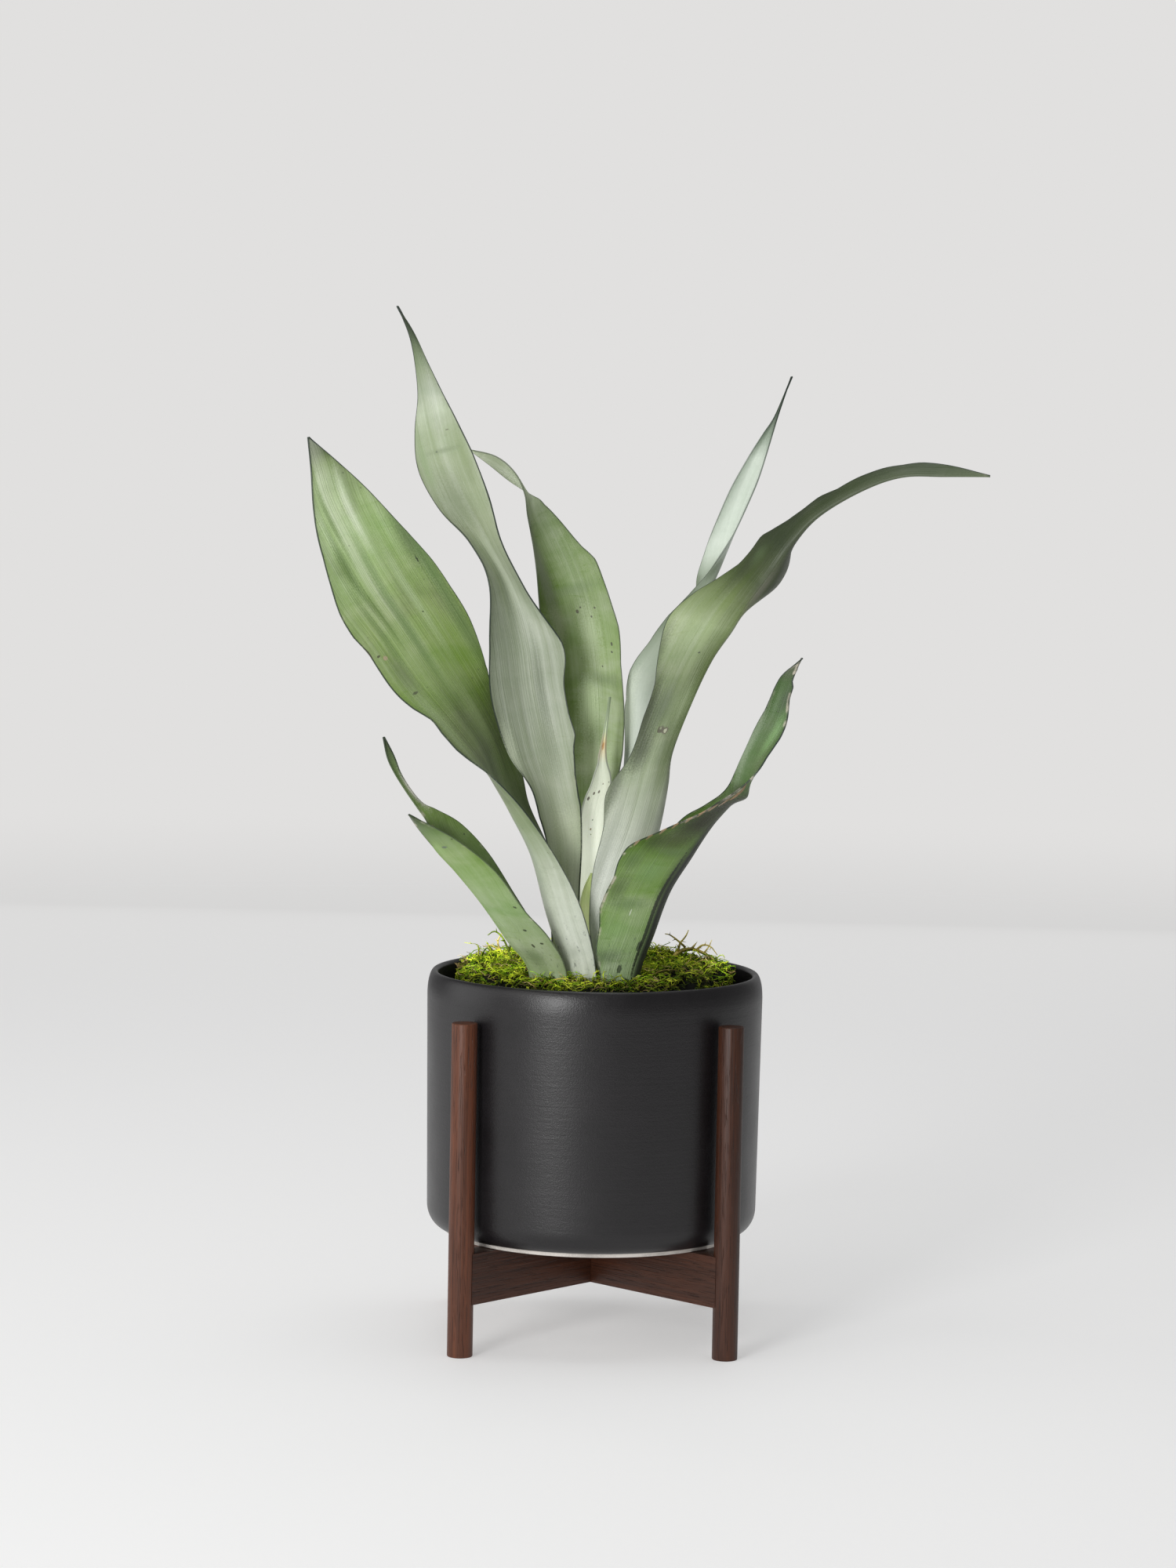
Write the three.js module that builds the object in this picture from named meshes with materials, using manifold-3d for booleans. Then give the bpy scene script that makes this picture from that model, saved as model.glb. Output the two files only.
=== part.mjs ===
// Moonshine snake plant in a black ceramic planter that rests on a wooden four-legged stand.
// Millimetres, +Z up. The origin lies on the floor under the middle of the whole outline, leaves
// included, and the side that the plant shows to a viewer faces -Y.

import * as THREE from 'three';
import { ParametricGeometry } from 'three/addons/geometries/ParametricGeometry.js';
import { mergeVertices } from 'three/addons/utils/BufferGeometryUtils.js';
import Module from 'manifold-3d';

// Driving dimensions. Places are measured from the planter's axis and the floor.
const PLANTER_AXIS_X = -31;
const CLEARANCE = 0.3;
const SOCKET_GROWTH = 0.4;

const LEG_DIAMETER = 19;
const LEG_LENGTH = 248;
const LEG_CIRCLE_RADIUS = 138.5;
const LEG_EDGE_EASE = 0.8;
const BAR_THICKNESS = 19;
const BAR_HEIGHT = 38;
const BAR_TOP = 77;
const TENON_RADIUS = 5;
const TENON_LENGTH = 8;

const PLANTER_RIM_RADIUS = 127;
const PLANTER_BASE_RADIUS = 125;
const PLANTER_HEIGHT = 198;
const PLANTER_WALL = 8;
const PLANTER_FLOOR = 9;
const PLANTER_FOOT_RADIUS = 112;
const PLANTER_FOOT_WIDTH = 13;
const PLANTER_FOOT_HEIGHT = 3;
const PLANTER_CORNER_HEIGHT = 17;
const PLANTER_INNER_CORNER = 10;
const RIM_SHOULDER_REACH = 5;
const RIM_SHOULDER_DROP = 9;
const RIM_INNER_ROUND = 3;

const GROW_POT_TOP_RADIUS = 98;
const GROW_POT_BASE_RADIUS = 84;
const GROW_POT_HEIGHT = 169;
const GROW_POT_WALL = 1.4;
const GROW_POT_LIP = 2.2;
const GROW_POT_LIP_HEIGHT = 5;
const DRAIN_HOLE_COUNT = 6;
const DRAIN_HOLE_RADIUS = 5;
const DRAIN_HOLE_CIRCLE = 62;

const MOSS_RADIUS = 101;
const MOSS_ABOVE_RIM = 6;
const MOSS_FRONT_DROP = 8;
const MOSS_EDGE_ROUND = 9;
const MOSS_UNDERCUT = 2;
const MOSS_UNDERCUT_HEIGHT = 8;
const MOSS_FRONT_START = 20;
const MOSS_LUMP_HEIGHT = 3;
const MOSS_EDGE_WAVE = 0.03;

const LEAF_FOOT_HEIGHT = 235;
const LEAF_BURIED_SCALE = 0.82;
const LEAF_HALF_THICKNESS = 1.5;
const LEAF_BASE_EXTRA = 0.5;
const LEAF_MARGIN_HALF_THICKNESS = 0.5;

// Heights that follow from them
const PLANTER_BOTTOM = BAR_TOP + CLEARANCE;
const RIM_TOP = PLANTER_BOTTOM + PLANTER_HEIGHT;
const PLANTER_FLOOR_TOP = PLANTER_BOTTOM + PLANTER_FOOT_HEIGHT + PLANTER_FLOOR;
const GROW_POT_BOTTOM = PLANTER_FLOOR_TOP + CLEARANCE;
const GROW_POT_TOP = GROW_POT_BOTTOM + GROW_POT_HEIGHT;
const MOSS_BOTTOM = GROW_POT_TOP + CLEARANCE;
const MOSS_TOP = RIM_TOP + MOSS_ABOVE_RIM;

// Each leaf is a list of stations from its foot in the moss to its tip. A station holds three
// points of the cross-section: the left or nearer margin, the keel and the other margin.
const LEAVES = {
  leaf_1: [
    [[-1, -62, 281], [-24, -54, 281], [-10, -41, 280]],
    [[-12, -65, 327], [-38, -55, 327], [-24, -38, 332]],
    [[-31, -66, 366], [-50, -54, 368], [-36, -33, 369]],
    [[-52, -66, 395], [-66, -48, 399], [-52, -25, 401]],
    [[-73, -65, 420], [-78, -42, 422], [-59, -18, 426]],
    [[-97, -64, 439], [-88, -38, 447], [-71, -14, 454]],
    [[-123, -63, 463], [-105, -39, 472], [-81, -15, 482]],
    [[-152, -64, 486], [-126, -43, 501], [-89, -21, 516]],
    [[-176, -66, 518], [-149, -48, 535], [-103, -31, 551]],
    [[-195, -70, 549], [-170, -57, 565], [-125, -45, 584]],
    [[-208, -75, 588], [-188, -67, 597], [-148, -60, 608]],
    [[-214, -81, 621], [-203, -77, 627], [-174, -73, 636]],
    [[-216, -86, 650], [-211, -84, 652], [-197, -83, 657]],
    [[-218.5, -91, 674], [-218, -90.5, 674], [-217.5, -91, 674]],
  ],
  leaf_2: [
    [[-33, -27, 277], [-23, -19, 276], [-13, -26, 278]],
    [[-35, -28, 327], [-24, -18, 326], [-14, -27, 331]],
    [[-39, -29, 376], [-25, -18, 374], [-13, -26, 379]],
    [[-52, -30, 415], [-34, -17, 411], [-16, -24, 412]],
    [[-69, -31, 443], [-44, -18, 447], [-19, -22, 451]],
    [[-82, -31, 483], [-53, -18, 488], [-26, -20, 489]],
    [[-84, -28, 524], [-59, -16, 526], [-29, -22, 523]],
    [[-86, -19, 569], [-71, -6, 567], [-57, -24, 564]],
    [[-101, -8, 598], [-89, -1, 600], [-76, -19, 599]],
    [[-124, 3, 623], [-106, -1, 629], [-87, -17, 633]],
    [[-139, 13, 651], [-119, 5, 657], [-98, -7, 662]],
    [[-143, 21, 680], [-127, 13, 683], [-111, 3, 688]],
    [[-141, 27, 708], [-133, 21, 710], [-122, 15, 710]],
    [[-144, 33, 733], [-139, 30, 733], [-133, 27, 731]],
    [[-149, 39, 754], [-147, 38, 755], [-144, 37, 753]],
    [[-158.5, 48, 775], [-158, 48.5, 775], [-157.5, 48, 775]],
  ],
  leaf_3: [
    [[-22, 1, 276], [-11, 8, 276], [-1, 4, 276]],
    [[-25, 1, 327], [-10, 10, 326], [6, 5, 327]],
    [[-30, 3, 381], [-8, 13, 380], [12, 7, 384]],
    [[-37, 5, 434], [-9, 16, 436], [16, 8, 435]],
    [[-42, 8, 487], [-11, 18, 488], [18, 10, 485]],
    [[-45, 16, 534], [-17, 26, 534], [14, 18, 533]],
    [[-48, 24, 566], [-27, 34, 569], [-3, 26, 580]],
    [[-51, 34, 593], [-40, 44, 598], [-22, 38, 604]],
    [[-56, 44, 617], [-51, 54, 621], [-42, 50, 625]],
    [[-59, 56, 634], [-57, 63, 635], [-58, 70, 636]],
    [[-67, 69, 651], [-68, 74, 648], [-74, 79, 646]],
    [[-82, 86, 663], [-84, 90, 659], [-88, 94, 657]],
    [[-104.5, 106, 668], [-104, 106.5, 668], [-103.5, 106, 668]],
  ],
  leaf_4: [
    [[4, 22, 274], [13, 17, 275], [23, 24, 274]],
    [[10, 22, 325], [21, 16, 326], [31, 24, 328]],
    [[15, 22, 380], [27, 16, 383], [40, 26, 386]],
    [[20, 22, 436], [35, 16, 441], [49, 28, 444]],
    [[21, 24, 490], [37, 18, 488], [51, 32, 490]],
    [[38, 30, 525], [54, 26, 517], [62, 42, 525]],
    [[63, 38, 555], [76, 34, 551], [73, 56, 555]],
    [[80, 42, 575], [88, 48, 575], [75, 66, 573]],
    [[95, 51, 596], [95, 65, 593], [81, 75, 594]],
    [[106, 61, 614], [100, 77, 611], [88, 80, 612]],
    [[118, 75, 642], [110, 88, 640], [100, 85, 640]],
    [[127, 88, 665], [121, 98, 665], [114, 95, 665]],
    [[133, 101, 684], [131, 106, 685], [126, 104, 684]],
    [[138, 111, 699], [137, 113, 700], [136, 112, 699]],
    [[148.5, 127, 729], [149, 127.5, 729], [149.5, 127, 729]],
  ],
  leaf_5: [
    [[1, -46, 276], [13, -42, 277], [22, -31, 277]],
    [[-6, -44, 315], [16, -42, 317], [27, -28, 318]],
    [[-5, -41, 353], [26, -42, 355], [37, -26, 356]],
    [[2, -38, 387], [38, -42, 389], [47, -24, 389]],
    [[4, -36, 415], [46, -42, 419], [51, -22, 421]],
    [[23, -34, 444], [53, -42, 447], [54, -20, 450]],
    [[36, -32, 483], [67, -42, 484], [66, -18, 488]],
    [[42, -28, 515], [81, -42, 516], [81, -16, 521]],
    [[51, -22, 547], [95, -42, 539], [102, -16, 545]],
    [[80, -17, 570], [108, -42, 558], [121, -14, 560]],
    [[109, -18, 594], [124, -42, 580], [137, -14, 585]],
    [[128, -24, 612], [140, -44, 604], [142, -22, 607]],
    [[154, -32, 633], [159, -46, 624], [160, -28, 628]],
    [[184, -42, 650], [190, -53, 643], [190, -37, 647]],
    [[217, -53, 661], [218, -61, 653], [220, -46, 659]],
    [[249, -64, 662], [248, -69, 654], [250, -58, 660]],
    [[281, -74.5, 655], [281, -74.5, 654.5], [281, -73.5, 654]],
  ],
  leaf_6: [
    [[2, -70, 278], [29, -60, 279], [17, -48, 281]],
    [[-2, -76, 311], [39, -66, 312], [23, -50, 315]],
    [[3, -83, 344], [50, -73, 344], [32, -55, 351]],
    [[18, -91, 375], [65, -80, 370], [45, -61, 378]],
    [[43, -99, 392], [79, -88, 393], [60, -75, 399]],
    [[75, -107, 407], [92, -96, 410], [75, -85, 410]],
    [[103, -114, 428], [103, -102, 424], [91, -95, 424]],
    [[118, -119, 448], [109, -109, 446], [101, -105, 448]],
    [[130, -121, 470], [121, -115, 471], [111, -113, 473]],
    [[134, -121, 492], [128, -117, 491], [121, -116, 493]],
    [[137, -122, 508], [133, -120, 508], [129, -119, 509]],
    [[141.5, -123, 521], [142, -122.5, 521], [142.5, -123, 521]],
  ],
  leaf_7: [
    [[-11, -13, 278], [-5, -9, 278], [1, -13, 279]],
    [[-13, -13, 323], [-5, -8, 323], [3, -13, 323]],
    [[-14, -14, 365], [-6, -8, 364], [4, -13, 365]],
    [[-13, -14, 398], [-3, -8, 398], [7, -13, 399]],
    [[-6, -14, 420], [2, -9, 420], [9, -14, 421]],
    [[-1, -13, 438], [2, -10, 438], [5, -13, 438]],
    [[2.5, -12, 457], [4, -11, 457], [5, -12, 457]],
    [[6.5, -10, 484], [7, -9.5, 484], [7.5, -10, 484]],
  ],
  leaf_9: [
    [[-11, -33, 281], [-6, -31, 281], [-2, -34, 281]],
    [[-12, -33, 308], [-8, -31, 307], [-3, -34, 308]],
    [[-13, -33, 330], [-9, -31, 330], [-4, -34, 330]],
    [[-10, -33, 343], [-8, -32, 343], [-5, -34, 343]],
    [[-5.5, -33, 353], [-5, -32.5, 353], [-4.5, -33, 353]],
  ],
};

// The eighth leaf is torn along its keel: the nearer half ends in a short lobe, and the farther
// half runs on as a narrow strip. Both lists start at the foot and share the keel.
const TORN_LEAF_KEEL = [
  [-51, -59, 281], [-68, -69, 306], [-87, -81, 334], [-105, -93, 357], [-123, -103, 378],
];
const TORN_LEAF_NEAR_MARGIN = [
  [-23, -67, 280], [-36, -77, 308], [-55, -89, 330], [-77, -101, 360], [-103, -111, 382],
];
const TORN_LEAF_FAR_MARGIN = [
  [-36, -47, 282], [-47, -54, 313], [-64, -65, 342], [-83, -77, 372], [-103, -89, 394],
];
const TORN_LEAF_LOBE = [
  [[-125, -117, 395], [-134, -111, 392]],
  [[-140.5, -122, 403], [-141, -121, 403]],
];
const TORN_LEAF_STRIP = [
  [[-127, -108, 395], [-121, -99, 405]],
  [[-135, -108, 407], [-131, -103, 410]],
  [[-144, -111, 420], [-139, -108, 419]],
  [[-152, -115, 433], [-147, -113, 432]],
  [[-157, -119, 444], [-152, -118, 445]],
  [[-160, -126, 459], [-159, -126, 459]],
];
const TORN_LEAF_BULGE = 1.5;

// Mesh resolution
const PLANTER_SEGMENTS = 64;
const LINER_SEGMENTS = 48;
const LEG_SEGMENTS = 24;
const MOSS_RING_STEP = 12;
const LEAF_ACROSS = 6;
const STEPS_PER_STATION = 2;
const MERGE_DISTANCE = 1e-4;

const wasm = await Module();
wasm.setup();

const MATERIALS = {
  blade_green: material(0x7d9a68, 0.5),
  blade_silver: material(0xa3b197, 0.5),
  blade_mint: material(0xc3d3c0, 0.5),
  glaze: material(0x343234, 0.45),
  walnut: material(0x50352b, 0.55),
  liner: material(0x26282a, 0.6),
  soil: material(0x3b2d22, 0.95),
  moss: material(0x6f8a1f, 0.95),
};

const LEAF_MATERIALS = {
  leaf_1: MATERIALS.blade_green,
  leaf_2: MATERIALS.blade_silver,
  leaf_3: MATERIALS.blade_green,
  leaf_4: MATERIALS.blade_mint,
  leaf_5: MATERIALS.blade_silver,
  leaf_6: MATERIALS.blade_green,
  leaf_7: MATERIALS.blade_mint,
  leaf_8: MATERIALS.blade_green,
  leaf_9: MATERIALS.blade_mint,
};

function material(color, roughness) {
  return new THREE.MeshStandardMaterial({ color, roughness, metalness: 0 });
}

// Closed geometry with shared corners only, and without the empty triangles at its poles.
function weld(geometry) {
  geometry.deleteAttribute('normal');
  geometry.deleteAttribute('uv');
  const welded = mergeVertices(geometry, MERGE_DISTANCE);
  const corners = welded.index.array;
  const kept = [];
  for (let i = 0; i < corners.length; i += 3) {
    const [a, b, c] = [corners[i], corners[i + 1], corners[i + 2]];
    if (a !== b && b !== c && c !== a) {
      kept.push(a, b, c);
    }
  }
  welded.setIndex(kept);
  return welded;
}

function signedVolume(geometry) {
  const position = geometry.attributes.position;
  const corners = geometry.index.array;
  const [a, b, c] = [new THREE.Vector3(), new THREE.Vector3(), new THREE.Vector3()];
  let sum = 0;
  for (let i = 0; i < corners.length; i += 3) {
    a.fromBufferAttribute(position, corners[i]);
    b.fromBufferAttribute(position, corners[i + 1]);
    c.fromBufferAttribute(position, corners[i + 2]);
    sum += a.dot(b.cross(c)) / 6;
  }
  return sum;
}

function facingOut(geometry) {
  if (signedVolume(geometry) < 0) {
    geometry.index.array.reverse();
  }
  return geometry;
}

function solidFrom(geometry) {
  const closed = facingOut(weld(geometry));
  const vertProperties = new Float32Array(closed.attributes.position.array);
  const triVerts = new Uint32Array(closed.index.array);
  return new wasm.Manifold(new wasm.Mesh({ numProp: 3, vertProperties, triVerts }));
}

function geometryFrom(solid) {
  const mesh = solid.getMesh();
  const geometry = new THREE.BufferGeometry();
  geometry.setAttribute('position', new THREE.BufferAttribute(mesh.vertProperties, 3));
  geometry.setIndex(new THREE.BufferAttribute(mesh.triVerts, 1));
  geometry.computeVertexNormals();
  return geometry;
}

function meshFrom(solid, name, surface) {
  const mesh = new THREE.Mesh(geometryFrom(solid), surface);
  mesh.name = name;
  return mesh;
}

// A solid turned about the Z axis from a profile of radius and height pairs.
function turned(profile, segments) {
  const points = profile.map(([radius, height]) => new THREE.Vector2(radius, height));
  const geometry = new THREE.LatheGeometry(points, segments);
  geometry.rotateX(Math.PI / 2);
  return geometry;
}

// Points on a quarter ellipse from one angle to another, both in degrees.
function arc(centreRadius, centreHeight, reachOut, reachUp, fromDegrees, toDegrees, steps) {
  const points = [];
  for (let i = 0; i <= steps; i += 1) {
    const angle = THREE.MathUtils.degToRad(fromDegrees + ((toDegrees - fromDegrees) * i) / steps);
    points.push([centreRadius + reachOut * Math.cos(angle), centreHeight + reachUp * Math.sin(angle)]);
  }
  return points;
}

// Planter: tapered wall, rim with a soft outer shoulder, round lower corner and a low foot ring
function planter() {
  const crestRadius = PLANTER_RIM_RADIUS - RIM_SHOULDER_REACH;
  const innerBaseRadius = PLANTER_BASE_RADIUS - PLANTER_WALL;
  const footTop = PLANTER_BOTTOM + PLANTER_FOOT_HEIGHT;
  const cornerReach = PLANTER_BASE_RADIUS - PLANTER_FOOT_RADIUS;
  const footBevel = 1;
  const profile = [
    [0, footTop],
    [PLANTER_FOOT_RADIUS - PLANTER_FOOT_WIDTH - footBevel, footTop],
    [PLANTER_FOOT_RADIUS - PLANTER_FOOT_WIDTH, PLANTER_BOTTOM],
    [PLANTER_FOOT_RADIUS - footBevel, PLANTER_BOTTOM],
    ...arc(
      PLANTER_FOOT_RADIUS,
      footTop + PLANTER_CORNER_HEIGHT,
      cornerReach,
      PLANTER_CORNER_HEIGHT,
      -90,
      0,
      6,
    ),
    ...arc(crestRadius, RIM_TOP - RIM_SHOULDER_DROP, RIM_SHOULDER_REACH, RIM_SHOULDER_DROP, 0, 75, 5),
    ...arc(crestRadius, RIM_TOP - RIM_INNER_ROUND, RIM_INNER_ROUND, RIM_INNER_ROUND, 90, 180, 3),
    ...arc(
      innerBaseRadius - PLANTER_INNER_CORNER,
      PLANTER_FLOOR_TOP + PLANTER_INNER_CORNER,
      PLANTER_INNER_CORNER,
      PLANTER_INNER_CORNER,
      0,
      -90,
      4,
    ),
    [0, PLANTER_FLOOR_TOP],
  ];
  return solidFrom(turned(profile, PLANTER_SEGMENTS));
}

// Nursery pot that stands inside the planter, with a lip and drain holes
function growPot() {
  const lipRadius = GROW_POT_TOP_RADIUS + GROW_POT_LIP;
  const lipBottom = GROW_POT_TOP - GROW_POT_LIP_HEIGHT;
  const profile = [
    [0, GROW_POT_BOTTOM],
    [GROW_POT_BASE_RADIUS, GROW_POT_BOTTOM],
    [GROW_POT_TOP_RADIUS, lipBottom],
    [lipRadius, lipBottom],
    [lipRadius, GROW_POT_TOP],
    [GROW_POT_TOP_RADIUS - GROW_POT_WALL, GROW_POT_TOP],
    [GROW_POT_BASE_RADIUS - GROW_POT_WALL, GROW_POT_BOTTOM + GROW_POT_WALL],
    [0, GROW_POT_BOTTOM + GROW_POT_WALL],
  ];
  let pot = solidFrom(turned(profile, LINER_SEGMENTS));
  for (let i = 0; i < DRAIN_HOLE_COUNT; i += 1) {
    const angle = (2 * Math.PI * i) / DRAIN_HOLE_COUNT;
    const hole = new THREE.CylinderGeometry(DRAIN_HOLE_RADIUS, DRAIN_HOLE_RADIUS, 6 * GROW_POT_WALL, 16);
    hole.rotateX(Math.PI / 2);
    hole.translate(
      DRAIN_HOLE_CIRCLE * Math.cos(angle),
      DRAIN_HOLE_CIRCLE * Math.sin(angle),
      GROW_POT_BOTTOM,
    );
    pot = pot.subtract(solidFrom(hole));
  }
  return pot;
}

// Soil that fills the nursery pot, with a socket for the foot of each leaf
function soil(sockets) {
  const inset = GROW_POT_WALL + CLEARANCE;
  const profile = [
    [0, GROW_POT_BOTTOM + inset],
    [GROW_POT_BASE_RADIUS - inset, GROW_POT_BOTTOM + inset],
    [GROW_POT_TOP_RADIUS - inset, GROW_POT_TOP],
    [0, GROW_POT_TOP],
  ];
  return withSockets(solidFrom(turned(profile, LINER_SEGMENTS)), sockets);
}

// Lumps of the moss: a sum of a few waves that runs from about -1 to 1
function lumps(x, y) {
  const broad = Math.sin(0.055 * x + 1.3) * Math.cos(0.061 * y - 0.4);
  const middling = Math.sin(0.13 * x - 0.09 * y + 2.1) * Math.cos(0.12 * y + 0.07 * x);
  const fine = Math.sin(0.31 * x + 0.17 * y) * Math.cos(0.29 * y - 0.21 * x + 0.8);
  return 0.5 * broad + 0.3 * middling + 0.25 * fine;
}

// Moss cushion: a thick disc with a round shoulder, lower at the front, with a lumpy surface
function moss(sockets) {
  const shoulder = arc(
    MOSS_RADIUS - MOSS_EDGE_ROUND,
    MOSS_TOP - MOSS_EDGE_ROUND,
    MOSS_EDGE_ROUND,
    MOSS_EDGE_ROUND,
    0,
    90,
    3,
  );
  const ringRadii = [];
  const flatRadius = MOSS_RADIUS - 2 * MOSS_EDGE_ROUND;
  for (let radius = flatRadius; radius > MOSS_RING_STEP / 2; radius -= MOSS_RING_STEP) {
    ringRadii.push(radius);
  }
  const profile = [
    [0, MOSS_BOTTOM],
    [MOSS_RADIUS - MOSS_UNDERCUT, MOSS_BOTTOM],
    [MOSS_RADIUS, MOSS_BOTTOM + MOSS_UNDERCUT_HEIGHT],
    ...shoulder,
    ...ringRadii.map((radius) => [radius, MOSS_TOP]),
    [0, MOSS_TOP],
  ];
  const geometry = weld(turned(profile, LINER_SEGMENTS));
  const position = geometry.attributes.position;
  const point = new THREE.Vector3();
  for (let i = 0; i < position.count; i += 1) {
    point.fromBufferAttribute(position, i);
    const height = (point.z - MOSS_BOTTOM) / (MOSS_TOP - MOSS_BOTTOM);
    const towardsFront = THREE.MathUtils.smoothstep(-point.y, MOSS_FRONT_START, MOSS_RADIUS);
    const swell = 1 + MOSS_EDGE_WAVE * height * lumps(2 * point.x, 2 * point.y);
    const lump = MOSS_LUMP_HEIGHT * lumps(point.x, point.y);
    const lift = height * (lump - MOSS_FRONT_DROP * towardsFront);
    position.setXYZ(i, point.x * swell, point.y * swell, point.z + lift);
  }
  return withSockets(solidFrom(geometry), sockets);
}

function withSockets(solid, sockets) {
  return sockets.reduce((rest, socket) => rest.subtract(socket), solid);
}

// One smooth rail through the same point of every station
function rail(stations, index) {
  const points = stations.map((station) => new THREE.Vector3(...station[index]));
  return new THREE.CatmullRomCurve3(points, false, 'catmullrom', 0.5);
}

// The stations with a level foot in front of them, straight below the first one in the soil
function withFoot(stations, extraDepth) {
  const first = stations[0].map((point) => new THREE.Vector3(...point));
  const centre = new THREE.Vector3();
  first.forEach((point) => centre.addScaledVector(point, 1 / 3));
  const foot = first.map((point) => {
    const moved = point.clone().sub(centre).multiplyScalar(LEAF_BURIED_SCALE).add(centre);
    return [moved.x, moved.y, LEAF_FOOT_HEIGHT - extraDepth];
  });
  return [foot, ...stations];
}

// A blade: every cross-section is the parabola through a station's three points, given a
// thickness that falls from the keel to the margins and from the foot to the tip.
function blade(stations, growth = 0) {
  const rows = withFoot(stations, growth);
  const rails = [0, 1, 2].map((index) => rail(rows, index));
  const steps = (rows.length - 1) * STEPS_PER_STATION;
  const ringPoints = 2 * (LEAF_ACROSS + 1);
  const stacks = steps + 2;

  function onMiddle(across, along, target) {
    const [left, keel, right] = rails.map((curve) => curve.getPoint(along));
    if (growth > 0) {
      left.addScaledVector(left.clone().sub(keel).normalize(), growth);
      right.addScaledVector(right.clone().sub(keel).normalize(), growth);
    }
    target.set(0, 0, 0);
    target.addScaledVector(left, (across * (across - 1)) / 2);
    target.addScaledVector(keel, 1 - across * across);
    target.addScaledVector(right, (across * (across + 1)) / 2);
    return target;
  }

  function normalAt(across, along) {
    const reach = 1e-3;
    const before = Math.max(along - reach, 0);
    const after = Math.min(along + reach, 1);
    const alongLeaf = onMiddle(across, after, new THREE.Vector3());
    alongLeaf.sub(onMiddle(across, before, new THREE.Vector3()));
    const acrossLeaf = onMiddle(across + reach, along, new THREE.Vector3());
    acrossLeaf.sub(onMiddle(across - reach, along, new THREE.Vector3()));
    return acrossLeaf.cross(alongLeaf).normalize();
  }

  function halfThickness(across, along) {
    const keelThickness = LEAF_HALF_THICKNESS * (1 - 0.55 * along);
    const footExtra = LEAF_BASE_EXTRA * Math.max(0, 1 - 4 * along);
    const middle = keelThickness + footExtra - LEAF_MARGIN_HALF_THICKNESS;
    return LEAF_MARGIN_HALF_THICKNESS + Math.max(0, middle) * (1 - across * across) + growth;
  }

  function surface(round, upward, target) {
    const stack = Math.round(upward * stacks);
    const along = THREE.MathUtils.clamp((stack - 1) / steps, 0, 1);
    const atEnd = stack === 0 || stack === stacks;
    const ringIndex = Math.round(round * ringPoints) % ringPoints;
    const onUpper = ringIndex <= LEAF_ACROSS;
    const place = onUpper ? ringIndex : ringPoints - 1 - ringIndex;
    const across = (2 * place) / LEAF_ACROSS - 1;
    const offset = atEnd ? 0 : halfThickness(across, along) * (onUpper ? 1 : -1);
    onMiddle(across, along, target);
    target.addScaledVector(normalAt(across, along), offset);
  }

  return solidFrom(new ParametricGeometry(surface, ringPoints, stacks));
}

// Half of the torn leaf, from a row of outer points to a row of inner ones
function halfBladeStations(pairs, bulge) {
  return pairs.map(([start, end]) => {
    const middle = start.map((value, axis) => (value + end[axis]) / 2);
    middle[1] += bulge;
    return [start, middle, end];
  });
}

function tornLeaf(growth = 0) {
  const nearPairs = TORN_LEAF_NEAR_MARGIN.map((margin, i) => [margin, TORN_LEAF_KEEL[i]]);
  const farPairs = TORN_LEAF_KEEL.map((keel, i) => [keel, TORN_LEAF_FAR_MARGIN[i]]);
  const near = halfBladeStations([...nearPairs, ...TORN_LEAF_LOBE], -TORN_LEAF_BULGE);
  const far = halfBladeStations([...farPairs, ...TORN_LEAF_STRIP], TORN_LEAF_BULGE);
  return blade(near, growth).add(blade(far, growth));
}

// Leg: a dowel with eased ends and a blind hole for the tenon of its bar
function leg(angle) {
  const radius = LEG_DIAMETER / 2;
  const profile = [
    [0, 0],
    [radius - LEG_EDGE_EASE, 0],
    [radius, LEG_EDGE_EASE],
    [radius, LEG_LENGTH - LEG_EDGE_EASE],
    [radius - LEG_EDGE_EASE, LEG_LENGTH],
    [0, LEG_LENGTH],
  ];
  const dowel = turned(profile, LEG_SEGMENTS);
  dowel.translate(LEG_CIRCLE_RADIUS, 0, 0);
  const hole = tenon(TENON_RADIUS + CLEARANCE, TENON_LENGTH + CLEARANCE);
  const solid = solidFrom(dowel).subtract(solidFrom(hole));
  return solid.rotate([0, 0, THREE.MathUtils.radToDeg(angle)]);
}

// A round tenon along +X that reaches into a leg from the side of the planter's axis
function tenon(radius, length) {
  const buriedInBar = 4;
  const shape = new THREE.CylinderGeometry(radius, radius, length + buriedInBar, 24);
  const legFace = LEG_CIRCLE_RADIUS - LEG_DIAMETER / 2;
  shape.rotateZ(Math.PI / 2);
  shape.translate(legFace + (length - buriedInBar) / 2, 0, BAR_TOP - BAR_HEIGHT / 2);
  return shape;
}

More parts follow.
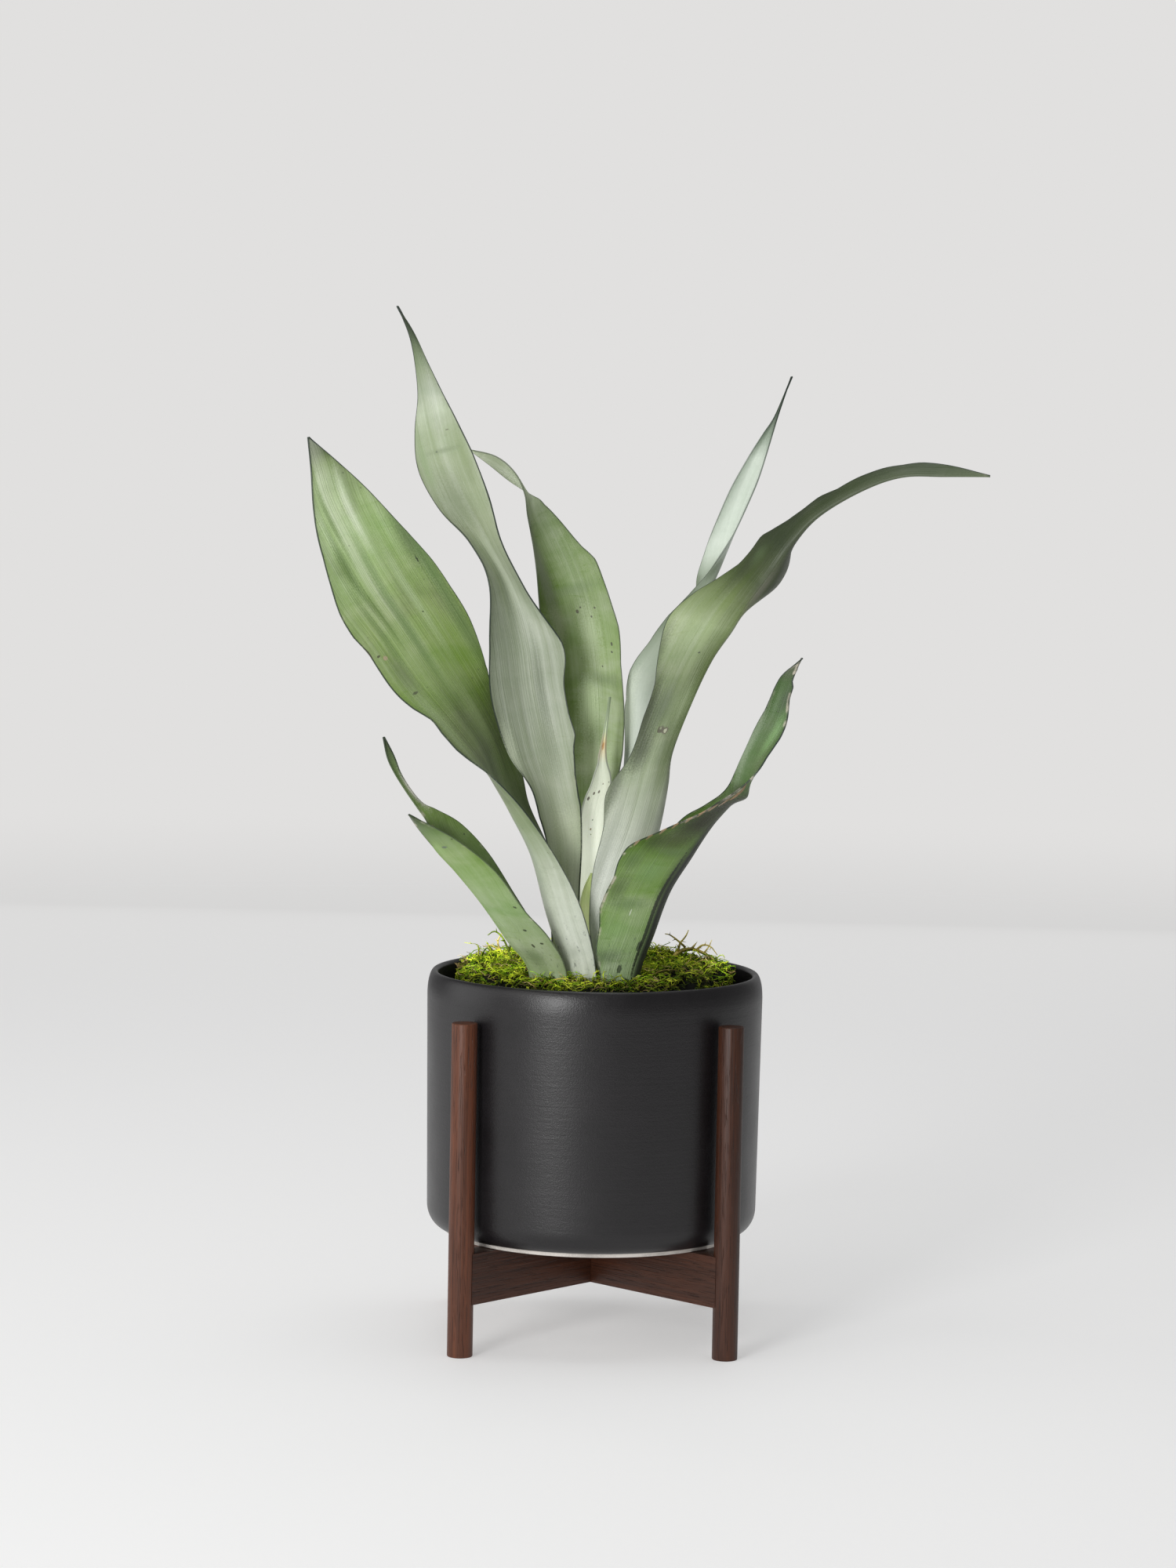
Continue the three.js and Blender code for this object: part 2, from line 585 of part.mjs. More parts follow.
// Bar: runs between two opposite legs, hollowed to their round, with a half-lap at the middle
function bar(angle, lapOnTop) {
  const board = new THREE.BoxGeometry(2 * LEG_CIRCLE_RADIUS, BAR_THICKNESS, BAR_HEIGHT);
  const middleHeight = BAR_TOP - BAR_HEIGHT / 2;
  board.translate(0, 0, middleHeight);
  let solid = solidFrom(board);
  for (const side of [1, -1]) {
    const socketRadius = LEG_DIAMETER / 2 + CLEARANCE;
    const socket = new THREE.CylinderGeometry(socketRadius, socketRadius, 2 * BAR_HEIGHT, LEG_SEGMENTS);
    socket.rotateX(Math.PI / 2);
    socket.translate(side * LEG_CIRCLE_RADIUS, 0, middleHeight);
    const pin = tenon(TENON_RADIUS, TENON_LENGTH);
    if (side < 0) {
      pin.rotateZ(Math.PI);
    }
    solid = solid.subtract(solidFrom(socket)).add(solidFrom(pin));
  }
  const lapWidth = BAR_THICKNESS + 2 * CLEARANCE;
  const lap = new THREE.BoxGeometry(lapWidth, 2 * BAR_THICKNESS, BAR_HEIGHT);
  const lapShift = (BAR_HEIGHT - CLEARANCE) / 2;
  lap.translate(0, 0, middleHeight + (lapOnTop ? lapShift : -lapShift));
  return solid.subtract(solidFrom(lap)).rotate([0, 0, THREE.MathUtils.radToDeg(angle)]);
}

function stand() {
  const group = new THREE.Group();
  const legAngles = {
    leg_front_left: -135,
    leg_front_right: -45,
    leg_back_right: 45,
    leg_back_left: 135,
  };
  for (const [name, degrees] of Object.entries(legAngles)) {
    group.add(meshFrom(leg(THREE.MathUtils.degToRad(degrees)), name, MATERIALS.walnut));
  }
  group.add(meshFrom(bar(Math.PI / 4, true), 'crossbar_lower', MATERIALS.walnut));
  group.add(meshFrom(bar(-Math.PI / 4, false), 'crossbar_upper', MATERIALS.walnut));
  return group;
}

function plant() {
  const group = new THREE.Group();
  const sockets = [];
  for (const [name, stations] of Object.entries(LEAVES)) {
    group.add(meshFrom(blade(stations), name, LEAF_MATERIALS[name]));
    sockets.push(blade(stations, SOCKET_GROWTH));
  }
  group.add(meshFrom(tornLeaf(), 'leaf_8', LEAF_MATERIALS.leaf_8));
  sockets.push(tornLeaf(SOCKET_GROWTH));
  group.add(meshFrom(soil(sockets), 'soil', MATERIALS.soil));
  group.add(meshFrom(moss(sockets), 'moss', MATERIALS.moss));
  return group;
}

function holder() {
  const group = new THREE.Group();
  group.add(meshFrom(planter(), 'planter', MATERIALS.glaze));
  group.add(meshFrom(growPot(), 'grow_pot', MATERIALS.liner));
  return group;
}

const assembly = new THREE.Group();
assembly.position.set(PLANTER_AXIS_X, 0, 0);
assembly.add(stand(), holder(), plant());

const part = new THREE.Group();
part.add(assembly);

export default part;
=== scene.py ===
import math

import bmesh
import bpy
import numpy as np
from bpy.props import FloatProperty, FloatVectorProperty, IntProperty, PointerProperty
from mathutils import Matrix, Vector


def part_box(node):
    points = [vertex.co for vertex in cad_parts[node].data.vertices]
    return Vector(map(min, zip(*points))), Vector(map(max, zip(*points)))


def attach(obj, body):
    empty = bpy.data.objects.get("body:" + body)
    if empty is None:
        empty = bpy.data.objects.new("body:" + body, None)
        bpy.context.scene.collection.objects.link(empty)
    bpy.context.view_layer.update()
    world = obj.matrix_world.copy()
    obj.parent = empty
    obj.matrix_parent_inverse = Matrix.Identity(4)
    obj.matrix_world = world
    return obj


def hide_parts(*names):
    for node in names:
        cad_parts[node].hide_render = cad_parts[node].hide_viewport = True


bl_info = {
    "name": "Potted Snake Plant",
    "version": (1, 0, 0),
    "blender": (4, 5, 0),
    "location": "View3D > Sidebar > Plant",
    "description": "Silver snake plant in a black glazed planter on a walnut stand",
    "category": "Add Mesh",
}

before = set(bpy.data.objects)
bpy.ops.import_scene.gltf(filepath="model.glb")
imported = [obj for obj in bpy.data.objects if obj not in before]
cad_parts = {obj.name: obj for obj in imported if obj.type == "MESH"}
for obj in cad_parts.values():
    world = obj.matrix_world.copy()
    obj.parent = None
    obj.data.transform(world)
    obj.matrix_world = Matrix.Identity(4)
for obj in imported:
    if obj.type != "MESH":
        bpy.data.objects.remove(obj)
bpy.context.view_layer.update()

MM = 0.001
PLANTER_LOW, PLANTER_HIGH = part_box("planter")
AXIS_X = (PLANTER_LOW.x + PLANTER_HIGH.x) / 2
RIM_RADIUS = (PLANTER_HIGH.x - PLANTER_LOW.x) / 2
LEAF_FOOT_HEIGHT = 235
LEAF_BURIED_SCALE = 0.82

# Each leaf is a list of stations from its foot in the moss to its tip, in millimetres from the
# planter's axis and the floor. A station holds the left or nearer margin, the keel and the
# other margin.
LEAVES = {
    "leaf_1": [
        [[-1, -62, 281], [-24, -54, 281], [-10, -41, 280]],
        [[-12, -65, 327], [-38, -55, 327], [-24, -38, 332]],
        [[-31, -66, 366], [-50, -54, 368], [-36, -33, 369]],
        [[-52, -66, 395], [-66, -48, 399], [-52, -25, 401]],
        [[-73, -65, 420], [-78, -42, 422], [-59, -18, 426]],
        [[-97, -64, 439], [-88, -38, 447], [-71, -14, 454]],
        [[-123, -63, 463], [-105, -39, 472], [-81, -15, 482]],
        [[-152, -64, 486], [-126, -43, 501], [-89, -21, 516]],
        [[-176, -66, 518], [-149, -48, 535], [-103, -31, 551]],
        [[-195, -70, 549], [-170, -57, 565], [-125, -45, 584]],
        [[-208, -75, 588], [-188, -67, 597], [-148, -60, 608]],
        [[-214, -81, 621], [-203, -77, 627], [-174, -73, 636]],
        [[-216, -86, 650], [-211, -84, 652], [-197, -83, 657]],
        [[-218.5, -91, 674], [-218, -90.5, 674], [-217.5, -91, 674]],
    ],
    "leaf_2": [
        [[-33, -27, 277], [-23, -19, 276], [-13, -26, 278]],
        [[-35, -28, 327], [-24, -18, 326], [-14, -27, 331]],
        [[-39, -29, 376], [-25, -18, 374], [-13, -26, 379]],
        [[-52, -30, 415], [-34, -17, 411], [-16, -24, 412]],
        [[-69, -31, 443], [-44, -18, 447], [-19, -22, 451]],
        [[-82, -31, 483], [-53, -18, 488], [-26, -20, 489]],
        [[-84, -28, 524], [-59, -16, 526], [-29, -22, 523]],
        [[-86, -19, 569], [-71, -6, 567], [-57, -24, 564]],
        [[-101, -8, 598], [-89, -1, 600], [-76, -19, 599]],
        [[-124, 3, 623], [-106, -1, 629], [-87, -17, 633]],
        [[-139, 13, 651], [-119, 5, 657], [-98, -7, 662]],
        [[-143, 21, 680], [-127, 13, 683], [-111, 3, 688]],
        [[-141, 27, 708], [-133, 21, 710], [-122, 15, 710]],
        [[-144, 33, 733], [-139, 30, 733], [-133, 27, 731]],
        [[-149, 39, 754], [-147, 38, 755], [-144, 37, 753]],
        [[-158.5, 48, 775], [-158, 48.5, 775], [-157.5, 48, 775]],
    ],
    "leaf_3": [
        [[-22, 1, 276], [-11, 8, 276], [-1, 4, 276]],
        [[-25, 1, 327], [-10, 10, 326], [6, 5, 327]],
        [[-30, 3, 381], [-8, 13, 380], [12, 7, 384]],
        [[-37, 5, 434], [-9, 16, 436], [16, 8, 435]],
        [[-42, 8, 487], [-11, 18, 488], [18, 10, 485]],
        [[-45, 16, 534], [-17, 26, 534], [14, 18, 533]],
        [[-48, 24, 566], [-27, 34, 569], [-3, 26, 580]],
        [[-51, 34, 593], [-40, 44, 598], [-22, 38, 604]],
        [[-56, 44, 617], [-51, 54, 621], [-42, 50, 625]],
        [[-59, 56, 634], [-57, 63, 635], [-58, 70, 636]],
        [[-67, 69, 651], [-68, 74, 648], [-74, 79, 646]],
        [[-82, 86, 663], [-84, 90, 659], [-88, 94, 657]],
        [[-104.5, 106, 668], [-104, 106.5, 668], [-103.5, 106, 668]],
    ],
    "leaf_4": [
        [[4, 22, 274], [13, 17, 275], [23, 24, 274]],
        [[10, 22, 325], [21, 16, 326], [31, 24, 328]],
        [[15, 22, 380], [27, 16, 383], [40, 26, 386]],
        [[20, 22, 436], [35, 16, 441], [49, 28, 444]],
        [[21, 24, 490], [37, 18, 488], [51, 32, 490]],
        [[38, 30, 525], [54, 26, 517], [62, 42, 525]],
        [[63, 38, 555], [76, 34, 551], [73, 56, 555]],
        [[80, 42, 575], [88, 48, 575], [75, 66, 573]],
        [[95, 51, 596], [95, 65, 593], [81, 75, 594]],
        [[106, 61, 614], [100, 77, 611], [88, 80, 612]],
        [[118, 75, 642], [110, 88, 640], [100, 85, 640]],
        [[127, 88, 665], [121, 98, 665], [114, 95, 665]],
        [[133, 101, 684], [131, 106, 685], [126, 104, 684]],
        [[138, 111, 699], [137, 113, 700], [136, 112, 699]],
        [[148.5, 127, 729], [149, 127.5, 729], [149.5, 127, 729]],
    ],
    "leaf_5": [
        [[1, -46, 276], [13, -42, 277], [22, -31, 277]],
        [[-6, -44, 315], [16, -42, 317], [27, -28, 318]],
        [[-5, -41, 353], [26, -42, 355], [37, -26, 356]],
        [[2, -38, 387], [38, -42, 389], [47, -24, 389]],
        [[4, -36, 415], [46, -42, 419], [51, -22, 421]],
        [[23, -34, 444], [53, -42, 447], [54, -20, 450]],
        [[36, -32, 483], [67, -42, 484], [66, -18, 488]],
        [[42, -28, 515], [81, -42, 516], [81, -16, 521]],
        [[51, -22, 547], [95, -42, 539], [102, -16, 545]],
        [[80, -17, 570], [108, -42, 558], [121, -14, 560]],
        [[109, -18, 594], [124, -42, 580], [137, -14, 585]],
        [[128, -24, 612], [140, -44, 604], [142, -22, 607]],
        [[154, -32, 633], [159, -46, 624], [160, -28, 628]],
        [[184, -42, 650], [190, -53, 643], [190, -37, 647]],
        [[217, -53, 661], [218, -61, 653], [220, -46, 659]],
        [[249, -64, 662], [248, -69, 654], [250, -58, 660]],
        [[281, -74.5, 655], [281, -74.5, 654.5], [281, -73.5, 654]],
    ],
    "leaf_6": [
        [[2, -70, 278], [29, -60, 279], [17, -48, 281]],
        [[-2, -76, 311], [39, -66, 312], [23, -50, 315]],
        [[3, -83, 344], [50, -73, 344], [32, -55, 351]],
        [[18, -91, 375], [65, -80, 370], [45, -61, 378]],
        [[43, -99, 392], [79, -88, 393], [60, -75, 399]],
        [[75, -107, 407], [92, -96, 410], [75, -85, 410]],
        [[103, -114, 428], [103, -102, 424], [91, -95, 424]],
        [[118, -119, 448], [109, -109, 446], [101, -105, 448]],
        [[130, -121, 470], [121, -115, 471], [111, -113, 473]],
        [[134, -121, 492], [128, -117, 491], [121, -116, 493]],
        [[137, -122, 508], [133, -120, 508], [129, -119, 509]],
        [[141.5, -123, 521], [142, -122.5, 521], [142.5, -123, 521]],
    ],
    "leaf_7": [
        [[-11, -13, 278], [-5, -9, 278], [1, -13, 279]],
        [[-13, -13, 323], [-5, -8, 323], [3, -13, 323]],
        [[-14, -14, 365], [-6, -8, 364], [4, -13, 365]],
        [[-13, -14, 398], [-3, -8, 398], [7, -13, 399]],
        [[-6, -14, 420], [2, -9, 420], [9, -14, 421]],
        [[-1, -13, 438], [2, -10, 438], [5, -13, 438]],
        [[2.5, -12, 457], [4, -11, 457], [5, -12, 457]],
        [[6.5, -10, 484], [7, -9.5, 484], [7.5, -10, 484]],
    ],
    "leaf_9": [
        [[-11, -33, 281], [-6, -31, 281], [-2, -34, 281]],
        [[-12, -33, 308], [-8, -31, 307], [-3, -34, 308]],
        [[-13, -33, 330], [-9, -31, 330], [-4, -34, 330]],
        [[-10, -33, 343], [-8, -32, 343], [-5, -34, 343]],
        [[-5.5, -33, 353], [-5, -32.5, 353], [-4.5, -33, 353]],
    ],
}

# The eighth leaf is torn along its keel: the nearer half ends in a short lobe, and the farther
# half runs on as a narrow strip. Both lists start at the foot and share the keel.
TORN_KEEL = [
    [-51, -59, 281], [-68, -69, 306], [-87, -81, 334], [-105, -93, 357], [-123, -103, 378],
]
TORN_NEAR_MARGIN = [
    [-23, -67, 280], [-36, -77, 308], [-55, -89, 330], [-77, -101, 360], [-103, -111, 382],
]
TORN_FAR_MARGIN = [
    [-36, -47, 282], [-47, -54, 313], [-64, -65, 342], [-83, -77, 372], [-103, -89, 394],
]
TORN_LOBE = [
    [[-125, -117, 395], [-134, -111, 392]],
    [[-140.5, -122, 403], [-141, -121, 403]],
]
TORN_STRIP = [
    [[-127, -108, 395], [-121, -99, 405]],
    [[-135, -108, 407], [-131, -103, 410]],
    [[-144, -111, 420], [-139, -108, 419]],
    [[-152, -115, 433], [-147, -113, 432]],
    [[-157, -119, 444], [-152, -118, 445]],
    [[-160, -126, 459], [-159, -126, 459]],
]
TORN_BULGE = 1.5

# Ground colours of each blade from its foot to its tip: place along and tone. Besides the
# blade's own colour they hold painted light and shade: lighter feet and lighter blades where
# neighbouring blades keep the light off, and darker parts turned away from the light, such as
# the upper half of leaf_5.
BLADE_TONES = {
    "leaf_1": [
        (0.0, 0xE0E8D4), (0.14, 0xE4EADB), (0.24, 0xC8D0BC), (0.34, 0x96A482), (0.45, 0x76845C),
        (0.58, 0x93AC6B), (0.7, 0xA6BC80), (0.84, 0xB6CE98), (0.93, 0xB9CD9E), (0.955, 0x90A274),
        (0.972, 0x55643E), (1.0, 0x1E281C),
    ],
    "leaf_2": [
        (0.0, 0xC2CCB0), (0.25, 0xB5BFA3), (0.42, 0xAFB8A3), (0.55, 0xABB49F), (0.68, 0xABB599),
        (0.76, 0xA5B192), (0.81, 0xABB899), (0.84, 0xC2CDB4), (0.87, 0xAEB8A2), (0.9, 0x98A488),
        (0.93, 0x728062), (0.955, 0x4C5842), (0.975, 0x38442F),
    ],
    "leaf_3": [
        (0.0, 0xB8C2A4), (0.2, 0xB0BE98), (0.35, 0xA4B688), (0.55, 0x97AD74), (0.7, 0x8CA26C),
        (0.82, 0x93A27E), (0.88, 0xD0DCBC), (1.0, 0xD0DCBC),
    ],
    "leaf_4": [
        (0.0, 0xAEB8A6), (0.4, 0xCCD5C9), (0.6, 0xAAB8A0), (0.72, 0xCFD9CC), (0.86, 0xCED8CB),
        (0.9, 0x97A493), (0.935, 0x4E5A4C), (1.0, 0x2A332D),
    ],
    "leaf_5": [
        (0.0, 0xCED4C6), (0.22, 0xDCE1D6), (0.3, 0xC0C8B4), (0.36, 0xA0AC8E), (0.44, 0x76855F),
        (0.49, 0x77865E), (0.53, 0x8C9B73), (0.57, 0xAEBD94), (0.6, 0x93A277), (0.64, 0x64724D),
        (0.7, 0x48543A), (0.82, 0x465236), (0.92, 0x47543A), (1.0, 0x586646),
    ],
    "leaf_6": [
        (0.0, 0xB4C2A2), (0.18, 0x9CB682), (0.35, 0x87A264), (0.55, 0x6C8551), (0.72, 0x5C7848),
        (0.93, 0x526C40), (1.0, 0x55593F),
    ],
    "leaf_7": [
        (0.0, 0xFAFFF0), (0.3, 0xF8FCEE), (0.52, 0xF0F4E6), (0.7, 0xCACFBE), (0.8, 0xC6CCBA),
        (0.86, 0xD2C29E), (0.9, 0xD0DDBC), (1.0, 0x9BAB88),
    ],
    "leaf_8": [
        (0.0, 0xB4C2A2), (0.25, 0xA4B688), (0.5, 0x94AC78), (0.7, 0x8EA66C), (0.78, 0x8AA266),
        (0.86, 0x78905A), (1.0, 0x55604A),
    ],
    "leaf_9": [(0.0, 0xDDE4BE), (0.6, 0xD2DCA6), (1.0, 0xB8C884)],
}

# Shaded parts of each blade: place along, and the shade left and right of the keel.
BLADE_SHADES = {
    "leaf_1": [
        (0.0, 0, 0), (0.25, 0, 0), (0.33, 0.3, 0.78), (0.45, 0.2, 0.65), (0.58, 0.15, 0.35),
        (0.75, 0.05, 0.4), (0.88, 0, 0.35), (1.0, 0, 0.2),
    ],
    "leaf_2": [
        (0.0, 0, 0.1), (0.28, 0.1, 0.15), (0.43, 0.45, 0.1), (0.52, 0.6, 0.05), (0.6, 0.35, 0.15),
        (0.7, 0.2, 0.2), (0.8, 0.1, 0.05), (0.92, 0.05, 0.1), (0.98, 0.8, 0.8),
    ],
    "leaf_3": [
        (0.0, 0, 0), (0.22, 0.1, 0), (0.34, 0.35, 0), (0.44, 0.6, 0.05), (0.52, 0.92, 0.1),
        (0.6, 0.72, 0.05), (0.7, 0.66, 0.25), (0.8, 0.5, 0.3), (0.86, 0, 0),
    ],
    "leaf_4": [
        (0.0, 0, 0.1), (0.44, 0, 0.1), (0.52, 0.45, 0.4), (0.6, 0.9, 0.9), (0.66, 0.6, 0.6), (0.7, 0, 0),
        (0.9, 0, 0.05),
    ],
    "leaf_5": [
        (0.0, 0, 0.1), (0.16, 0, 0.3), (0.24, 0, 0.45), (0.32, 0.02, 0.3), (0.38, 0.05, 0.7),
        (0.55, 0.05, 0.7), (0.62, 0.5, 0.9), (0.68, 0.85, 0.9), (0.8, 0.8, 0.6), (0.9, 0.75, 0.3),
        (1.0, 0.3, 0.1),
    ],
    "leaf_6": [
        (0.0, 0, 0.2), (0.2, 0.05, 0.4), (0.4, 0.2, 0.5), (0.48, 0.6, 0.6), (0.58, 0.55, 0.5),
        (0.66, 0.2, 0.2), (0.9, 0.2, 0.2), (0.97, 0.7, 0.7),
    ],
    "leaf_7": [(0.0, 0, 0.15), (0.5, 0, 0.25), (1.0, 0, 0.25)],
    "leaf_8": [(0.0, 0.05, 0.5), (0.5, 0.0, 0.5), (0.8, 0.1, 0.4), (0.92, 0.1, 0.4), (1.0, 0.7, 0.6)],
    "leaf_9": [(0.0, 0, 0), (1.0, 0, 0)],
}

# How strongly each blade shows a pale centre, cross bands, lengthwise streaks, dark clouds of
# painted shade, specks, rubbed margins, a blackened keel and a dark margin, and how far across,
# in millimetres from the keel, its left shade gives way to its right one.
MARK_NAMES = ("Centre", "Bands", "Streaks", "Clouds", "Specks", "Scuffs", "Ridge", "Margin", "Shade Line")
BLADE_MARKS = {
    "leaf_1": (0.5, 0.8, 0.9, 0.9, 0.5, 0.9, 0.3, 1.0, 12.0),
    "leaf_2": (0.0, 0.6, 1.5, 0.6, 0.15, 0.3, 0.0, 1.0, -6.0),
    "leaf_3": (0.1, 2.1, 0.9, 0.6, 1.0, 0.3, 0.0, 0.6, -9.0),
    "leaf_4": (0.0, 0.3, 0.4, 0.0, 0.0, 0.0, 0.0, 0.6, 0.0),
    "leaf_5": (0.1, 0.7, 0.9, 0.4, 0.3, 0.3, 0.0, 1.0, -11.0),
    "leaf_6": (0.0, 1.5, 0.6, 0.9, 0.6, 1.6, 1.0, 1.0, -8.0),
    "leaf_7": (0.0, 0.2, 0.4, 0.0, 1.0, 0.1, 0.0, 0.55, 0.0),
    "leaf_8": (0.0, 1.2, 0.6, 0.3, 0.9, 0.7, 0.0, 0.6, 0.0),
    "leaf_9": (0.0, 0.1, 0.4, 0.0, 0.0, 0.0, 0.0, 0.3, 0.0),
}

# Single scars and spots: millimetres across from the keel and along from the foot, half width,
# half length and tone.
BLADE_SPOTS = {
    "leaf_1": [
        (39, 380, 0.6, 3.2, 0x1F2C1C), (-26, 320, 2.0, 1.8, 0xB9A88C), (-30, 324, 1.6, 1.0, 0x55533F),
        (-36, 330, 1.4, 5.0, 0x4A4A38), (-23, 286, 2.4, 1.2, 0x5A6048), (21, 340, 0.7, 0.7, 0x3C4630),
    ],
    "leaf_2": [(9.5, 467, 1.6, 0.5, 0x6C7158), (-4, 452, 0.8, 0.8, 0x66705A)],
    "leaf_3": [
        (2, 313, 1.2, 1.6, 0x4E4A38), (5, 316, 0.8, 0.8, 0x4E4A38), (16, 315, 0.8, 0.7, 0x4A4636),
        (12, 309, 0.7, 0.9, 0x4A4636), (24.7, 290, 0.9, 1.4, 0x3F3E30), (24, 284, 0.8, 0.9, 0x3F3E30),
        (15, 272, 0.6, 0.8, 0x4A4636),
    ],
    "leaf_5": [
        (-14.8, 235, 2.6, 2.9, 0x4A4434), (-15.2, 236, 0.9, 1.2, 0x868C70),
        (-11.2, 234, 2.3, 2.9, 0x544E3E), (-11.1, 234, 1.3, 1.8, 0xAEB296), (-11.6, 297, 1.0, 0.7, 0x39412F),
    ],
    "leaf_6": [
        (-23.7, 99, 0.5, 3.0, 0xC9D2BC), (-16.2, 203, 0.8, 2.6, 0xD6D0C4), (-17, 52, 2.0, 3.5, 0x44503C),
        (-8, 71, 1.6, 4.5, 0x3A4534), (-6.5, 96, 1.5, 56, 0x161B14), (-2, 120, 1.2, 60, 0x1B2018),
        (-46.5, 156, 1.1, 5, 0x988468), (-42, 165, 0.9, 5, 0x8C7858), (-37.5, 174, 1.1, 5, 0x9C8668),
        (-33, 181, 1.0, 4.5, 0x8E7656), (-27.5, 188, 1.2, 4.5, 0xA28C70), (-23, 194, 1.1, 4, 0x9A8062),
        (-19.5, 199, 1.3, 3.5, 0xA48A6C), (-16, 204, 1.1, 3.5, 0x8C6E50), (-14, 209, 1.2, 3.5, 0x987A5A),
        (-13, 214, 1.0, 3.5, 0x886C50),
    ],
    "leaf_7": [
        (-0.6, 213, 1.5, 3.0, 0xA0703C), (-8.4, 173, 1.3, 1.6, 0x3A2E22), (-4.5, 177, 1.0, 1.2, 0x43362A),
        (-0.4, 178, 0.9, 1.2, 0x43362A), (1.5, 184, 0.5, 0.7, 0x5A4A3A), (-1.2, 149, 0.7, 0.9, 0x6B5138),
    ],
    "leaf_8": [
        (-9, 178, 2.2, 1.3, 0x5D6A5C), (-27.6, 115, 1.3, 1.0, 0x2C331F), (-20.5, 89, 1.5, 1.2, 0x2F3623),
        (-18, 73, 1.0, 2.0, 0x3A3A28), (-25.4, 75, 1.2, 1.0, 0x262B1C), (3, 190, 3, 6, 0xBCA892),
    ],
}

# Broad soft patches, written in the same way. Some are the blade's own markings; many are
# painted shade in folds, beside and under neighbouring blades and on sides turned from the
# light, and others are painted light where neighbouring blades keep the light off.
BLADE_PATCHES = {
    "leaf_4": [
        (-14, 243, 7, 30, 0xE4ECDC), (-15, 208, 4, 18, 0x4A5840), (-9, 366, 5, 16, 0x5A6850),
        (21, 353, 6, 14, 0x6A775E),
    ],
    "leaf_1": [
        (-22, 300, 9, 30, 0x6B7659), (41, 401, 10, 46, 0x3C5424), (11, 434, 4, 40, 0xDCE6CC),
        (-14, 205, 7, 30, 0x55603E), (3, 330, 5, 66, 0x64804A), (45, 368, 7, 48, 0x5C7C40),
        (43, 318, 8, 52, 0x5C7640), (5, 385, 4, 50, 0x7C985C), (-5, 432, 3, 44, 0x6A8448),
        (-11, 392, 4, 54, 0x6E8850), (21, 361, 5, 66, 0xB4C898), (-24, 262, 7, 50, 0xA6BA88),
        (12, 258, 6, 50, 0x8C9F6C), (-17, 338, 4, 50, 0x6F8850), (-13, 390, 3.5, 26, 0x64803E),
        (-8.5, 350, 3.5, 36, 0x5F7A3C), (-2, 132, 9, 44, 0x9CA890),
    ],
    "leaf_2": [
        (2, 140, 18, 34, 0xDDE7C8), (-26, 212, 7, 30, 0xD2DCC0), (-4, 330, 4, 45, 0x7C866F),
        (8, 260, 5, 50, 0x7F8974), (-5, 412, 18, 34, 0x727E60), (17, 446, 6, 24, 0x86966A),
        (-16, 446, 5, 30, 0x8FA478), (3, 452, 22, 3, 0x849272), (6, 214, 9, 30, 0x8A957A),
    ],
    "leaf_3": [
        (12, 262, 26, 8, 0x6E8253), (5, 330, 26, 6, 0x7A8D62), (-17, 350, 9, 62, 0x7A7E70),
        (3, 240, 11, 30, 0xCCE0AE), (1, 242, 9, 26, 0xCCE0AE), (6, 200, 16, 22, 0xDAEABE),
        (-15, 301, 8, 22, 0x9AA680), (9, 295, 12, 28, 0xC6D6AC),
    ],
    "leaf_5": [
        (-30, 232, 14, 32, 0x262F14), (-31, 250, 7, 28, 0x20280F), (-39, 168, 5, 46, 0x606B4C),
        (-38, 264, 12, 27, 0x262F14), (-45, 292, 8, 28, 0x3E4A2A), (-24, 218, 11, 22, 0x323C24),
        (12, 298, 8, 62, 0x4E4E3E), (-37, 196, 8, 30, 0x4C5640), (-28, 132, 8, 60, 0x9EA696),
        (-6, 256, 8, 28, 0x84946A), (-21, 254, 9, 24, 0x56624A), (8, 358, 12, 25, 0x2C361E),
        (-24, 367, 12, 30, 0x2A3418), (-20, 374, 8, 12, 0x4C5F38), (1.5, 352, 3.4, 30, 0x6E6E62),
    ],
    "leaf_6": [
        (-14, 182, 24, 24, 0x1E1A0C), (-12, 186, 22, 24, 0x1E190C), (-14, 202, 14, 17, 0x201A10),
        (-3, 208, 12, 9, 0x1A140A), (-4, 200, 14, 10, 0x1C170C), (-22, 162, 18, 16, 0x3A4220),
        (8.5, 250, 5, 44, 0x94A488), (-35, 160, 11, 16, 0x37461F), (-6, 262, 5, 24, 0x7CA266),
        (5, 214, 10, 10, 0x2C2C20), (-5, 128, 7, 34, 0x2E3626), (-30, 62, 18, 9, 0x5E7050),
        (-28, 106, 20, 8, 0x607A48), (-24, 132, 14, 12, 0x6E9052), (-30, 84, 12, 10, 0x86A866),
        (-16, 150, 16, 6, 0x587040), (-40, 118, 10, 15, 0x46582F), (-41, 139, 9, 11, 0x526A3A),
        (-4, 290, 6, 14, 0x3C4A34),
    ],
    "leaf_8": [
        (-12, 60, 10, 14, 0x6D8056), (9, 226, 9, 24, 0xCAC8BE), (10, 224, 7, 20, 0xC4C2B8),
        (13, 180, 11, 15, 0x5C6C44), (15, 158, 8, 20, 0x7E8A66), (-4, 176, 5, 12, 0x92AC6E),
        (4, 152, 5, 14, 0x8E8672),
    ],
}

# Painted light: the thinnest blades glow in their own colour, in place of the light that comes
# through them and of the light that reaches them past their neighbouring blades.
BLADE_PAINTED_GLOW = {"leaf_4": 0.05, "leaf_7": 0.45, "leaf_9": 0.3}

